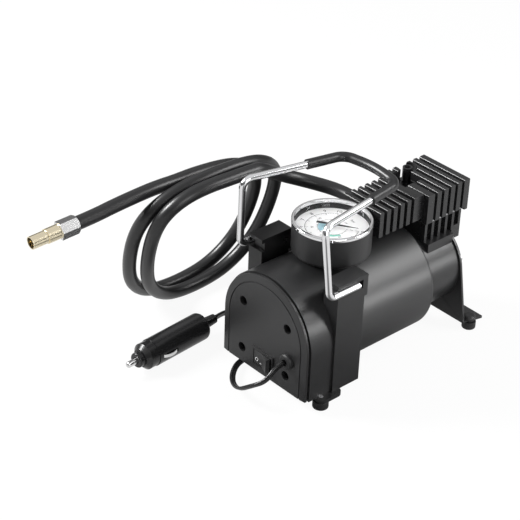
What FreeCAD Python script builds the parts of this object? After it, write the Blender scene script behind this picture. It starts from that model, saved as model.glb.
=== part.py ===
import FreeCAD, Part
import math
import os

os.makedirs("parts", exist_ok=True)

# A 12 volt portable tyre inflator, in millimetres.
# X is the width, Y runs along the motor from the switch end to the pump end, Z is up.
# The origin is on the floor, in the middle of the body's length and width.

# Lengths along the motor
cover_depth = 2.0
cover_groove = 0.8
cover_groove_depth = 0.8
panel_relief = 0.7
panel_groove_width = 0.8
housing_length = 46.2
can_length = 75.5
crankcase_length = 34.1
plate_thickness = 2.0
flange_reach = 14.9

# Round sizes about the motor axis
axis_height = 45.1
cover_half_width = 42.2
panel_half_width = 36.0
housing_half_width = 43.2
housing_underside = 8.7
housing_wall = 2.4
can_radius = 41.0
can_wall = 1.6
can_edge_radius = 2.5
crankcase_radius = 33.0
crankcase_wall = 4.5
fit_gap = 0.2
run_gap = 0.3
screw_gap = 0.15
turn_gap = 0.03

# Switch and grommet
bezel_width = 21.0
bezel_height = 15.0
bezel_lip = 1.0
bezel_stand = 1.2
switch_height = 21.5
switch_depth = 15.0
switch_well_depth = 11.0
rocker_width = 17.0
rocker_height = 11.0
rocker_play = 0.5
rocker_sink = 0.1
rocker_pivot_depth = 0.5
rocker_pin_radius = 1.0
rocker_rise_angle = 24.0
rocker_end_depth = 3.0
rocker_back_depth = 3.4
rocker_back_half = 1.6
terminal_spacing = 6.0
terminal_width = 4.8
terminal_thickness = 0.8
terminal_length = 7.5
grommet_x = 24.1
grommet_height = 34.1
grommet_radius = 5.8
grommet_neck = 1.5
grommet_flange = 0.6
grommet_flange_thickness = 1.6
grommet_stand = 3.2
grommet_bore = 2.45

# Front cover screws
cover_hole_x = 22.3
cover_hole_upper = 59.1
cover_hole_lower = 20.7
cover_hole_radius = 3.5
cover_boss_wall = 1.5
cover_boss_depth = 12.0
cover_seat_thickness = 2.0
cover_screw_radius = 1.4
cover_screw_length = 15.0
cover_post_radius = 4.0
screw_head_height = 2.0
screw_cross_width = 0.8
screw_cross_length = 3.6
screw_cross_depth = 0.8

# Towers that hold the handle
tower_inner_x = 31.3
tower_outer_x = 44.8
tower_start = 20.2
tower_length = 25.2
tower_overhang = 2.5
tower_step_drop = 7.0
slot_room_below = 1.1
slot_room_above = 0.5
slot_room_beside = 0.9
slot_roof = 3.0
slot_end_wall = 4.5
slot_mouth_length = 2.6
peg_radius = 1.6
peg_reach = 2.2
peg_inset = 4.2
peg_rise = 2.3
bulkhead_thickness = 2.0
bulkhead_hole_radius = 32.0

# Handle
wire_radius = 2.5
grip_radius = 3.6
wire_foot_inset = 0.2
wire_foot_height = 88.2
wire_foot_room = 4.3
wire_top_x = 40.2
wire_top_height = 142.2
wire_corner_x = 25.6
wire_corner_height = 139.8
wire_leg_ahead = 8.3
wire_leg_lean = 3.3
wire_top_run = 81.2
wire_cross_bulge = 4.6
wire_cross_radius = 70.0
grip_start_share = 0.62
wire_bend_radius = 5.5
wire_top_bend_radius = 6.5
wire_corner_radius = 11.0

# Feet
foot_radius = 5.7
front_foot_inset = 5.4
foot_edge_radius = 1.0
rear_foot_height = 5.9
rear_foot_radius = 5.2
rear_foot_neck_radius = 3.0
rear_foot_dome_radius = 5.0
rear_foot_dome_height = 3.0
rear_foot_dome_edge = 2.4
foot_screw_radius = 1.7
foot_screw_head_radius = 3.0
foot_screw_length = 6.4
foot_recess = 2.2
foot_recess_radius = 3.2
foot_screw_floor_gap = 0.5
ear_thickness = 2.8
ear_inner_x = 33.0
ear_reach_x = 48.8
ear_start = 9.7
ear_end = 30.6
ear_corner_radius = 5.0
front_foot_place = 14.0
rear_foot_x = 41.6
rear_foot_inset = 9.6
flange_half_width = 45.8
flange_flare = 3.6
flange_window_half = 26.0

# Motor
can_engagement = 8.0
magnet_thickness = 9.0
magnet_length = 50.0
magnet_half_angle = 66.0
core_radius = 29.4
core_length = 40.0
core_start = 32.0
core_slot_width = 4.0
core_slot_depth = 9.0
slot_count = 12
winding_height = 8.0
winding_radius = 25.0
winding_bore = 9.0
winding_edge_radius = 2.5
shaft_radius = 4.0
commutator_radius = 11.0
commutator_length = 13.0
commutator_start = 9.0
commutator_groove_width = 0.8
commutator_groove_depth = 1.5
segment_count = 12
end_cap_thickness = 3.0
end_cap_boss_radius = 9.0
end_cap_boss_length = 10.0
end_cap_lip = 1.5
bush_radius = 6.5
bush_length = 8.0
bearing_outer_radius = 11.0
bearing_width = 7.0
bearing_race = 2.2
bearing_inner_race = 2.0
bearing_place = 0.6
cage_inset = 0.8
shaft_end_past_bearing = 1.2
brush_card_thickness = 2.0
brush_width = 6.0
brush_length = 11.0
brush_room = 0.2
brush_holder_wall = 1.0
brush_holder_start = 1.5
brush_holder_length = 10.0
brush_spring_turns = 6
brush_spring_radius = 2.0
brush_spring_wire = 0.35
can_screw_place = 27.7
can_screw_radius = 2.0
can_screw_head_radius = 3.6
can_screw_head_height = 2.0
can_screw_reach = 7.0

# Pump
small_screw_radius = 1.5
crankcase_front_wall = 8.0
crankcase_rear_wall = 3.0
crankcase_port_radius = 17.0
crankcase_shaft_room = 3.5
crank_throw = 6.0
crank_disc_radius = 14.0
crank_disc_thickness = 5.4
crank_disc_gap = 1.0
crank_hub_radius = 6.2
crank_hub_length = 1.4
crank_socket_depth = 1.0
counterweight_radius = 18.8
counterweight_drop = 7.0
crank_pin_radius = 3.0
cylinder_place = 21.6
bore_radius = 10.5
rod_width = 8.0
rod_eye_radius = 9.0
rod_bearing_radius = 6.5
rod_shank = 6.0
rod_length = 28.4
piston_disc_thickness = 2.5
cup_thickness = 2.6
cup_floor = 1.0
cup_wall = 1.3
cup_gap = 0.1
piston_cap_radius = 7.5
piston_cap_thickness = 1.5
clamp_head_radius = 2.8
clamp_head_height = 1.8
clamp_depth = 5.5
pad_half_width = 24.0
pad_start = 8.2
pad_bottom = 63.9
pad_top = 75.0
block_half_width = 20.0
block_start = 7.5
block_end = 44.9
block_top = 89.6
block_base = 3.2
block_core_half_width = 16.2
block_core_inset = 4.0
block_fin_count = 6
block_skirt_gap = 0.3
block_skirt_drop = 8.0
barrel_wall = 3.3
block_screw_x = 13.2
block_screw_spread = 9.0
block_screw_head_radius = 2.8
block_screw_head_height = 2.4
block_screw_depth = 4.0
gasket_thickness = 0.5
valve_plate_thickness = 1.6
port_radius = 2.0
port_x = 4.5
reed_half_width = 3.0
reed_thickness = 0.25
plate_lip = 1.6
plate_screw_angles = (20, 160, 232, 308)
plate_screw_circle_inset = 2.5
plate_screw_head_radius = 2.9
plate_screw_head_height = 2.2
plate_screw_length = 8.0

# Finned head, with places measured back from the can's rear end
head_top = 115.0
head_back_half_width = 22.4
head_front_half_width = 18.0
fin_edge_radius = 1.1
block_fin_thickness = 2.4
front_fin_start = -37.7
front_fin_pitch = 6.7
front_fin_count = 6
front_fin_thickness = 3.7
front_fin_bottom = 95.2
front_core_half_width = 13.5
fin_depth = 7.0
bridge_start = -1.5
bridge_end = 6.6
bridge_drop = 0.8
rear_block_start = 5.6
rear_block_end = 12.0
rear_fin_start = 14.7
rear_fin_pitch = 7.0
rear_fin_count = 4
rear_fin_thickness = 4.3
rear_core_half_width = 18.5
end_plate_start = 42.6
end_plate_end = 48.2
end_plate_bottom = 89.8
head_base = 4.0
chamber_half_width = 10.5
chamber_front = 8.0
chamber_back = 11.5
chamber_height = 5.0
boss_x = -16.8
boss_radius = 3.6
boss_place = 24.5
boss_room_radius = 6.8
boss_mouth_radius = 2.3
boss_mouth_depth = 2.5
pocket_depth = 11.0
pocket_start = 3.0
pocket_left = -17.0
pocket_right = 2.0
head_bolt_radius = 1.9
head_bolt_head_radius = 3.0
head_bolt_head_height = 2.6
head_bolt_depth = 6.0
rear_bolt_x = 13.5
rear_bolt_top_cover = 12.5
air_passage_radius = 2.2
air_passage_drop = 6.4
air_passage_inset = 7.2

# Pressure gauge
gauge_place = 9.6
gauge_radius = 27.9
gauge_bottom = 88.9
gauge_wall = 1.8
gauge_edge_radius = 2.8
bezel_radius = 28.3
bezel_top = 113.3
bezel_drop = 2.3
bezel_rim = 2.0
bezel_edge_radius = 0.8
lens_seat = 0.9
lens_height = 109.6
lens_thickness = 1.0
dial_height = 105.4
dial_thickness = 0.8
dial_ledge_width = 2.0
dial_ledge_height = 3.0
pointer_length = 18.3
pointer_tail = 11.0
pointer_half_width = 1.1
pointer_tip_half_width = 0.15
pointer_thickness = 0.4
pointer_rise = 2.2
pointer_hub_radius = 1.9
pointer_hub_height = 0.9
pointer_rest_angle = 33.0
pointer_shaft_radius = 0.8
stem_radius = 4.2
stem_bore_radius = 1.2
stem_grip = 6.0
stem_head_inset = 2.0
movement_radius = 15.0
movement_block_half = 5.0
movement_block_depth = 6.0
movement_plate_drop = 3.0
movement_plate_thickness = 2.0
movement_plate_half = 4.0
bourdon_height = 7.0
bourdon_wall = 1.9
bourdon_gap = 1.6

# Air hose and nozzle
hose_radius = 5.0
hose_coil_step = 12.2
hose_coil_lean = 0.36
hose_coil_half_height = 68.2
hose_coil_half_depth = 62.97
hose_coil_shrink = 0.07
hose_coil_depth_shrink = 0.01
hose_coil_front_bulge = 0.16
hose_coil_squareness = 0.772
hose_coil_skew = 0.1
hose_coil_x_skew = 0.01
hose_coil_x = -68.2
hose_coil_place = 37.31
hose_coil_drift = 6.02
hose_coil_turns = 2
hose_first_sink = 7.0
hose_last_lift = 3.6
hose_nut_straight = 12.0
nut_radius = 8.2
nut_length = 7.0
nut_boss_radius = 7.6
nut_place = -14.8
nut_rise = 2.1
ferrule_across_flats = 12.0
ferrule_turn = 10.0
ferrule_chamfer = 3.0
ferrule_length = 14.0
nozzle_radius = 5.3
nozzle_tip_radius = 4.7
nozzle_length = 10.0
nozzle_tip_length = 12.0
nozzle_bore = 3.95
valve_depth = 9.0
airway_radius = 2.4
depressor_radius = 0.7
depressor_length = 4.5
depressor_inset = 0.6
depressor_bar = 1.2

# Power cord and plug
cord_radius = 2.2
cord_coil_inner = 15.5
cord_coil_pitch = 5.6
cord_coil_turns = 3
cord_coil_climb = 0.5
cord_coil_layers = 4
cord_coil_x = -88.0
cord_coil_place = 112.0
floor_gap = 0.15
plug_radius = 10.3
plug_length = 50.3
plug_rear_edge = 3.5
plug_bore = 6.6
plug_back_wall = 2.5
plug_collar_length = 10.0
plug_collar_radius = 9.8
plug_collar_chamfer = 3.0
plug_nose_length = 4.5
plug_nose_radius = 5.6
plug_nose_edge = 1.0
plug_cap_wall = 2.0
plug_sleeve_length = 12.0
plug_sleeve_radius = 4.4
plug_sleeve_end_radius = 3.5
plug_sleeve_neck = 3.2
plug_contact_place = 3.5
plug_contact_length = 13.0
plug_contact_width = 2.4
plug_contact_thickness = 0.8
plug_contact_sink = 0.6
plug_contact_stand = 1.6
plug_contact_room = 0.4
plug_pin_radius = 2.3
plug_pin_tip_edge = 2.0
plug_pin_reach = 8.5
plug_pin_travel = 4.0
plug_pin_flange = 1.6
plug_pin_flange_thickness = 2.0
fuse_radius = 3.1
fuse_length = 30.0
fuse_cap_length = 5.0
plug_spring_turns = 8
plug_spring_radius = 3.4
plug_spring_wire = 0.45

# Sizes that follow from others
rocker_face_depth = bezel_stand + rocker_pivot_depth - rocker_sink
rocker_half_angle = math.radians(rocker_rise_angle / 2)
rocker_run = rocker_width / 2 - rocker_face_depth * math.tan(rocker_half_angle)
wire_foot_x = tower_outer_x - wire_foot_inset
slot_bottom = wire_foot_height - wire_radius - slot_room_below
slot_top = wire_foot_height + wire_radius + slot_room_above
slot_inner_x = wire_foot_x - wire_radius - slot_room_beside
tower_top = slot_top + slot_roof
tower_step_height = slot_bottom - tower_step_drop
nut_height = front_fin_bottom + nut_rise
air_passage_height = dial_height - air_passage_drop
bezel_bottom = bezel_top - bezel_drop
plug_height = plug_radius + floor_gap

# Stations along Y
switch_reach = (panel_relief + bezel_stand - rocker_sink
                + math.sin(math.radians(rocker_rise_angle)) * rocker_run)
body_length = (switch_reach + cover_depth + cover_groove + housing_length + can_length
               + crankcase_length + plate_thickness + flange_reach)
front_y = -body_length / 2 + switch_reach
panel_y = front_y - panel_relief
cover_back_y = front_y + cover_depth
housing_front_y = cover_back_y + cover_groove
housing_back_y = housing_front_y + housing_length
can_back_y = housing_back_y + can_length
crankcase_back_y = can_back_y + crankcase_length
plate_back_y = crankcase_back_y + plate_thickness
flange_edge_y = plate_back_y + flange_reach
can_front_y = housing_back_y - can_engagement
gauge_y = housing_back_y + gauge_place
cylinder_y = can_back_y + cylinder_place
port_y = can_back_y + nut_place
tower_front_y = housing_front_y + tower_start
tower_back_y = tower_front_y + tower_length
slot_end_y = tower_back_y + tower_overhang - slot_end_wall
cover_seat_y = front_y + cover_boss_depth - cover_seat_thickness
front_foot_x = ear_reach_x - front_foot_inset
front_foot_y = front_y + front_foot_place
magnet_start = core_start + (core_length - magnet_length) / 2
rear_foot_y = flange_edge_y - rear_foot_inset
skirt_front_y = plate_back_y + block_skirt_gap

X_AXIS = FreeCAD.Vector(1, 0, 0)
Y_AXIS = FreeCAD.Vector(0, 1, 0)
Z_AXIS = FreeCAD.Vector(0, 0, 1)


def vec(x, y, z):
    return FreeCAD.Vector(x, y, z)


def box(x0, x1, y0, y1, z0, z1):
    return Part.makeBox(x1 - x0, y1 - y0, z1 - z0, vec(x0, y0, z0))


def rod_x(x0, x1, y, z, radius):
    return Part.makeCylinder(radius, x1 - x0, vec(x0, y, z), X_AXIS)


def rod_y(y0, y1, x, z, radius):
    return Part.makeCylinder(radius, y1 - y0, vec(x, y0, z), Y_AXIS)


def rod_z(z0, z1, x, y, radius):
    return Part.makeCylinder(radius, z1 - z0, vec(x, y, z0), Z_AXIS)


def tube_y(y0, y1, x, z, outer, inner):
    return rod_y(y0, y1, x, z, outer).cut(rod_y(y0 - 1, y1 + 1, x, z, inner))


def tube_z(z0, z1, x, y, outer, inner):
    return rod_z(z0, z1, x, y, outer).cut(rod_z(z0 - 1, z1 + 1, x, y, inner))


def join(first, *others):
    return first.fuse(list(others)).removeSplitter()


def mirror_x(shape):
    return shape.mirror(vec(0, 0, 0), X_AXIS)


def both_sides(shape):
    return [shape, mirror_x(shape)]


def save(name, shapes):
    """Write one node, as one solid or a group of separate solids."""
    if not isinstance(shapes, list):
        shapes = [shapes]
    solids = [solid for shape in shapes for solid in shape.Solids]
    body = solids[0] if len(solids) == 1 else Part.makeCompound(solids)
    if not body.isValid():
        print("not valid:", name)
    body.exportStep("parts/" + name + ".step")


def prism(points, direction):
    wire = Part.makePolygon(points + [points[0]])
    return Part.Face(wire).extrude(direction)


def rounded_path(points, radii):
    """Straight runs joined by tangent arcs; radii has one value for each inner point."""
    edges = []
    start = points[0]
    for index in range(1, len(points) - 1):
        corner = points[index]
        back = points[index - 1].sub(corner).normalize()
        ahead = points[index + 1].sub(corner).normalize()
        half_angle = back.getAngle(ahead) / 2
        reach = radii[index - 1] / math.tan(half_angle)
        first = corner.add(back * reach)
        last = corner.add(ahead * reach)
        inward = back.add(ahead).normalize()
        centre_distance = radii[index - 1] / math.sin(half_angle)
        middle = corner.add(inward * (centre_distance - radii[index - 1]))
        if first.sub(start).Length > 1e-4:
            edges.append(Part.LineSegment(start, first).toShape())
        edges.append(Part.Arc(first, middle, last).toShape())
        start = last
    edges.append(Part.LineSegment(start, points[-1]).toShape())
    return Part.Wire(edges)


def sweep_round(path, radius):
    """A round bar along a path of lines and arcs."""
    start = path.Edges[0]
    direction = start.tangentAt(start.FirstParameter)
    ring = Part.Wire(Part.makeCircle(radius, start.valueAt(start.FirstParameter), direction))
    return path.makePipeShell([ring], True, False)


def cord_stretch(name, points, radius):
    """A free stretch of cord: each arc is as large as its two runs allow."""
    radii = []
    for index in range(1, len(points) - 1):
        before = points[index].sub(points[index - 1])
        after = points[index + 1].sub(points[index])
        turn = before.getAngle(after)
        shorter = min(before.Length, after.Length)
        radii.append(0.45 * shorter / math.tan(turn / 2))
    path = rounded_path(points, radii)
    solid = sweep_round(path, radius)
    expected = math.pi * radius * radius * path.Length
    print(name, "length", round(path.Length, 1), "least radius", round(min(radii), 1),
          "volume share", round(solid.Volume / expected, 4))
    return solid


def biarc(start, start_tangent, end, end_tangent):
    """Two arcs that leave start and reach end along the given tangents."""
    chord = end.sub(start)
    tangents = start_tangent.add(end_tangent)
    slope = chord.dot(tangents)
    spread = 2 * (1 - start_tangent.dot(end_tangent))
    reach = (math.sqrt(slope * slope + spread * chord.dot(chord)) - slope) / spread
    first = start.add(start_tangent * reach)
    second = end.sub(end_tangent * reach)
    join_point = (first.add(second)) * 0.5
    arcs = []
    for a, corner, b in ((start, first, join_point), (join_point, second, end)):
        half_chord = a.add(b) * 0.5
        to_corner = corner.sub(half_chord)
        half_length = b.sub(a).Length / 2
        angle = math.atan2(to_corner.Length, half_length)
        sagitta = half_length * math.tan(angle / 2)
        arcs.append(Part.Arc(a, half_chord.add(to_corner.normalize() * sagitta), b).toShape())
    return arcs


def wound_path(place, start, end, step):
    """A wire of biarcs along place(t), from start to end, a quarter turn at a time."""
    def tangent(t):
        return place(t + 0.02).sub(place(t - 0.02)).normalize()
    edges = []
    count = round((end - start) / step)
    for index in range(count):
        t0 = start + index * step
        t1 = t0 + step
        edges += biarc(place(t0), tangent(t0), place(t1), tangent(t1))
    return edges, tangent(start), tangent(end)


def least_self_gap(path, radius, turn_length):
    """The least gap between a wound tube and itself, measured on points."""
    points = path.discretize(Distance=3.0)
    skip = int(turn_length * 0.3 / 3.0)
    least = 1e9
    for i in range(len(points)):
        for j in range(i + skip, len(points)):
            least = min(least, points[i].sub(points[j]).Length)
    return least - 2 * radius


def model_y(place):
    """Places on the cords are measured back from the cover's front face."""
    return front_y + place


def cover_hole_places():
    return [(x, z) for x in (-cover_hole_x, cover_hole_x) for z in (cover_hole_upper, cover_hole_lower)]


def arch_wire(half_width, bottom, y):
    """The outline of a flat-bottomed arch about the motor axis."""
    left = vec(-half_width, y, axis_height)
    right = vec(half_width, y, axis_height)
    crown = vec(0, y, axis_height + half_width)
    return Part.Wire([Part.LineSegment(vec(-half_width, y, bottom), left).toShape(),
                      Part.Arc(left, crown, right).toShape(),
                      Part.LineSegment(right, vec(half_width, y, bottom)).toShape(),
                      Part.LineSegment(vec(half_width, y, bottom), vec(-half_width, y, bottom)).toShape()])


def arch(half_width, bottom, y0, y1):
    """A block with an arched top about the motor axis and a flat underside."""
    return Part.Face(arch_wire(half_width, bottom, y0)).extrude(vec(0, y1 - y0, 0))


def round_edges(shape, radius, chosen):
    return shape.makeFillet(radius, [edge for edge in shape.Edges if chosen(edge)])


def ring_at(axis, place):
    """Chooses the closed round edges that lie at one place along an axis."""
    def chosen(edge):
        return len(edge.Vertexes) == 1 and abs(getattr(edge.CenterOfMass, axis) - place) < 0.01
    return chosen


def cross_head(x, y_out, z, radius, height):
    """A screw head along Y whose outer face, with its cross recess, is at y_out."""
    inward = 1 if height > 0 else -1
    head = rod_y(min(y_out, y_out + height), max(y_out, y_out + height), x, z, radius)
    near = y_out - inward
    deep = y_out + inward * screw_cross_depth
    for across, along in ((screw_cross_width, screw_cross_length), (screw_cross_length, screw_cross_width)):
        head = head.cut(box(x - across / 2, x + across / 2, min(near, deep), max(near, deep),
                            z - along / 2, z + along / 2))
    return head


def front_cover():
    plate = arch(cover_half_width, housing_underside, front_y, cover_back_y)
    lip = arch(cover_half_width - cover_groove_depth, housing_underside + cover_groove_depth,
               cover_back_y, housing_front_y)
    groove_half = panel_half_width + panel_groove_width
    slope = Part.makeLoft([arch_wire(cover_half_width, housing_underside, front_y),
                           arch_wire(groove_half, housing_underside, panel_y)], True, True)
    slope = slope.cut(arch(groove_half, housing_underside, panel_y - 1, front_y + 1))
    panel = arch(panel_half_width, housing_underside, panel_y, front_y)
    shell = join(plate, lip, slope, panel)
    for x, z in cover_hole_places():
        post = rod_y(cover_back_y, front_y + cover_boss_depth, x, z, cover_hole_radius + cover_boss_wall)
        shell = join(shell, post)
    for x, z in cover_hole_places():
        shell = shell.cut(rod_y(panel_y - 1, cover_seat_y, x, z, cover_hole_radius))
        shell = shell.cut(rod_y(cover_seat_y - 1, front_y + cover_boss_depth + 1, x, z,
                                cover_screw_radius + screw_gap))
    window_x = bezel_width / 2 - bezel_lip + fit_gap
    window_z = bezel_height / 2 - bezel_lip + fit_gap
    shell = shell.cut(box(-window_x, window_x, panel_y - 1, housing_front_y + 1,
                          switch_height - window_z, switch_height + window_z))
    shell = shell.cut(rod_y(panel_y - 1, housing_front_y + 1, grommet_x, grommet_height,
                            grommet_radius - grommet_neck))
    save("front_cover", shell)


def cover_screws():
    screws = []
    for x, z in cover_hole_places():
        head = cross_head(x, cover_seat_y - screw_head_height, z, cover_hole_radius - fit_gap, screw_head_height)
        shank = rod_y(cover_seat_y, cover_seat_y + cover_screw_length, x, z, cover_screw_radius)
        screws.append(join(head, shank))
    save("cover_screws", screws)


def rocker_profile():
    """The rocker seen along its pivot, half way between its two rests, from the pivot as origin."""
    sine = math.sin(rocker_half_angle)
    cosine = math.cos(rocker_half_angle)
    valley = rocker_face_depth / cosine
    tip = (rocker_run * cosine, -valley - rocker_run * sine)
    foot = (tip[0] + rocker_end_depth * sine, tip[1] + rocker_end_depth * cosine)
    right = [tip, foot, (rocker_back_half, rocker_back_depth)]
    left = [(-x, y) for x, y in reversed(right)]
    return [vec(x, y, 0) for x, y in [(0, -valley)] + right + left]


def switch():
    half_w = bezel_width / 2
    half_h = bezel_height / 2
    frame_y = panel_y - bezel_stand
    frame = box(-half_w, half_w, frame_y, panel_y, switch_height - half_h, switch_height + half_h)
    back_y = panel_y + switch_depth
    body = box(-half_w + bezel_lip, half_w - bezel_lip, panel_y, back_y, switch_height - half_h + bezel_lip,
               switch_height + half_h - bezel_lip)
    well_w = rocker_width / 2 + rocker_play
    well_h = rocker_height / 2 + run_gap
    shell = join(frame, body).cut(box(-well_w, well_w, frame_y - 1, panel_y + switch_well_depth,
                                      switch_height - well_h, switch_height + well_h))
    pivot_y = panel_y + rocker_pivot_depth
    pin = rod_z(switch_height - well_h - fit_gap, switch_height + well_h + fit_gap, 0, pivot_y, rocker_pin_radius)
    save("switch_housing", join(shell, pin))

    rocker = prism(rocker_profile(), vec(0, 0, rocker_height))
    rocker = rocker.cut(rod_z(-1, rocker_height + 1, 0, 0, rocker_pin_radius + screw_gap / 3))
    rocker.rotate(vec(0, 0, 0), Z_AXIS, -rocker_rise_angle / 2)
    rocker.translate(vec(0, pivot_y, switch_height - rocker_height / 2))
    save("switch_rocker", rocker)

    tabs = []
    for x in (-terminal_spacing, 0.0, terminal_spacing):
        tabs.append(box(x - terminal_thickness / 2, x + terminal_thickness / 2, back_y, back_y + terminal_length,
                        switch_height - terminal_width / 2, switch_height + terminal_width / 2))
    save("switch_terminals", tabs)


def grommet():
    face_y = panel_y - grommet_stand
    dome = rod_y(face_y, panel_y, grommet_x, grommet_height, grommet_radius)
    dome = round_edges(dome, grommet_stand * 0.6, ring_at("y", face_y))
    neck = rod_y(panel_y, housing_front_y, grommet_x, grommet_height, grommet_radius - grommet_neck)
    flange = rod_y(housing_front_y, housing_front_y + grommet_flange_thickness, grommet_x, grommet_height,
                   grommet_radius - grommet_flange)
    body = join(dome, neck, flange)
    body = body.cut(rod_y(face_y - 1, housing_front_y + grommet_flange_thickness + 1, grommet_x, grommet_height,
                          grommet_bore))
    save("cord_grommet", body)


def tower():
    """The right side pillar with the slot that takes an end of the handle."""
    lower = box(tower_inner_x, tower_outer_x, tower_front_y, tower_back_y, housing_underside, tower_step_height)
    upper = box(tower_inner_x, tower_outer_x, tower_front_y, tower_back_y + tower_overhang,
                tower_step_height, tower_top)
    slot = box(slot_inner_x, tower_outer_x + 1, tower_front_y - 1, slot_end_y, slot_bottom, slot_top)
    mouth = box(tower_inner_x - 1, tower_outer_x + 1, tower_front_y - 1, tower_front_y + slot_mouth_length,
                slot_bottom, slot_top)
    peg = rod_x(tower_inner_x - peg_reach, tower_inner_x + 1.0, housing_back_y - peg_inset, slot_bottom + peg_rise,
                peg_radius)
    return join(lower, upper).cut(slot).cut(mouth).fuse(peg)


def foot_ear():
    """The right ear under the housing that carries a front foot."""
    y0 = front_y + ear_start
    y1 = front_y + ear_end
    ear = box(ear_inner_x, ear_reach_x, y0, y1, housing_underside - ear_thickness, housing_underside)
    ear = round_edges(ear, ear_corner_radius, lambda edge: edge.CenterOfMass.x > ear_reach_x - 0.01
                      and abs(edge.CenterOfMass.z - housing_underside + ear_thickness / 2) < 0.01)
    root = box(ear_inner_x, housing_half_width, y0, y1, housing_underside - ear_thickness / 2,
               housing_underside + housing_wall)
    hole = rod_z(0, housing_underside + housing_wall + 1, front_foot_x, front_foot_y,
                 foot_screw_radius + screw_gap / 3)
    return ear.fuse(root).cut(hole)


def end_housing():
    outer = arch(housing_half_width, housing_underside, housing_front_y, housing_back_y)
    shape = join(outer, *both_sides(tower()), *both_sides(foot_ear()))
    bulkhead_y = can_front_y - bulkhead_thickness
    inner_half = can_radius + fit_gap
    cavity = arch(inner_half, housing_underside + housing_wall, housing_front_y - 1, bulkhead_y)
    shape = shape.cut(cavity)
    shape = shape.cut(rod_y(bulkhead_y - 1, can_front_y + 1, 0, axis_height, bulkhead_hole_radius))
    shape = shape.cut(rod_y(can_front_y, tower_back_y + tower_overhang + 1, 0, axis_height, inner_half))
    for x, z in cover_hole_places():
        shape = join(shape, rod_y(front_y + cover_boss_depth, bulkhead_y + 1, x, z, cover_post_radius))
    for x, z in cover_hole_places():
        shape = shape.cut(rod_y(housing_front_y, cover_seat_y + cover_screw_length + run_gap, x, z,
                                cover_screw_radius + screw_gap / 3))
    save("end_housing", shape)


def wire_points(side=1):
    """Corner points of the handle's wire, from one foot to the middle of the cross bar."""
    leg_y = tower_front_y - wire_leg_ahead
    top_y = leg_y - wire_leg_lean
    corner_y = top_y + wire_top_run
    return [vec(side * wire_foot_x, slot_end_y - wire_foot_room, wire_foot_height),
            vec(side * wire_foot_x, leg_y, wire_foot_height),
            vec(side * wire_top_x, top_y, wire_top_height),
            vec(side * wire_corner_x, corner_y, wire_corner_height),
            vec(0, corner_y + wire_cross_bulge, wire_corner_height)]


def handle():
    right = wire_points(1)
    left = wire_points(-1)
    radii = [wire_bend_radius, wire_top_bend_radius, wire_corner_radius, wire_cross_radius,
             wire_corner_radius, wire_top_bend_radius, wire_bend_radius]
    wire = sweep_round(rounded_path(right + left[-2::-1], radii), wire_radius)
    save("handle_wire", wire)

    grip_right = right[2].add(right[3].sub(right[2]) * grip_start_share)
    grip_left = left[2].add(left[3].sub(left[2]) * grip_start_share)
    grip_path = rounded_path([grip_right, right[3], right[4], left[3], grip_left], radii[2:5])
    grip = sweep_round(grip_path, grip_radius)
    grip = grip.cut(sweep_round(grip_path, wire_radius + turn_gap))
    save("handle_grip", grip)


def rubber_feet():
    """The front feet are screwed to their ears; the rear feet are pushed through the flange."""
    front_top = housing_underside - ear_thickness
    front = rod_z(0, front_top, front_foot_x, front_foot_y, foot_radius)
    front = round_edges(front, foot_edge_radius, ring_at("z", 0))
    front = front.cut(rod_z(-1, foot_recess, front_foot_x, front_foot_y, foot_recess_radius))
    front = front.cut(rod_z(0, front_top + 1, front_foot_x, front_foot_y, foot_screw_radius + screw_gap / 3))
    pad = rod_z(0, rear_foot_height, rear_foot_x, rear_foot_y, rear_foot_radius)
    pad = round_edges(pad, foot_edge_radius, ring_at("z", 0))
    dome_bottom = rear_foot_height + plate_thickness
    dome_top = dome_bottom + rear_foot_dome_height
    neck = rod_z(rear_foot_height, dome_bottom, rear_foot_x, rear_foot_y, rear_foot_neck_radius)
    dome = rod_z(dome_bottom, dome_top, rear_foot_x, rear_foot_y, rear_foot_dome_radius)
    dome = round_edges(dome, rear_foot_dome_edge, ring_at("z", dome_top))
    rear = join(pad, neck, dome)
    save("rubber_feet", both_sides(front) + both_sides(rear))


def foot_screws():
    head = rod_z(foot_screw_floor_gap, foot_recess, front_foot_x, front_foot_y, foot_screw_head_radius)
    shank = rod_z(foot_recess, foot_recess + foot_screw_length, front_foot_x, front_foot_y, foot_screw_radius)
    save("foot_screws", both_sides(join(head, shank)))


def can_screw_heights():
    return [axis_height - can_screw_place, axis_height + can_screw_place]


def motor_can():
    outer = rod_y(can_front_y, can_back_y, 0, axis_height, can_radius)
    outer = round_edges(outer, can_edge_radius, ring_at("y", can_back_y))
    shape = outer.cut(rod_y(can_front_y - 1, can_back_y - can_wall, 0, axis_height, can_radius - can_wall))
    shape = shape.cut(rod_y(can_back_y - can_wall - 1, can_back_y + 1, 0, axis_height,
                            bearing_outer_radius + end_cap_thickness))
    for z in can_screw_heights():
        shape = shape.cut(rod_y(can_back_y - can_wall - 1, can_back_y + 1, 0, z, can_screw_radius + screw_gap))
    save("motor_can", shape)


def motor_magnets():
    y0 = can_front_y + magnet_start
    outer = can_radius - can_wall
    ring = tube_y(y0, y0 + magnet_length, 0, axis_height, outer, outer - magnet_thickness)
    reach = 2 * can_radius
    rise = reach * math.tan(math.radians(magnet_half_angle))
    wedge = prism([vec(0, y0 - 1, axis_height), vec(reach, y0 - 1, axis_height - rise),
                   vec(reach, y0 - 1, axis_height + rise)], vec(0, magnet_length + 2, 0))
    save("motor_magnets", both_sides(ring.common(wedge)))


def cut_round(shape, groove, count):
    """Cuts one groove again and again round the motor axis."""
    for index in range(count):
        turned = groove.copy()
        turned.rotate(vec(0, 0, axis_height), Y_AXIS, index * 360.0 / count)
        shape = shape.cut(turned)
    return shape


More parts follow.
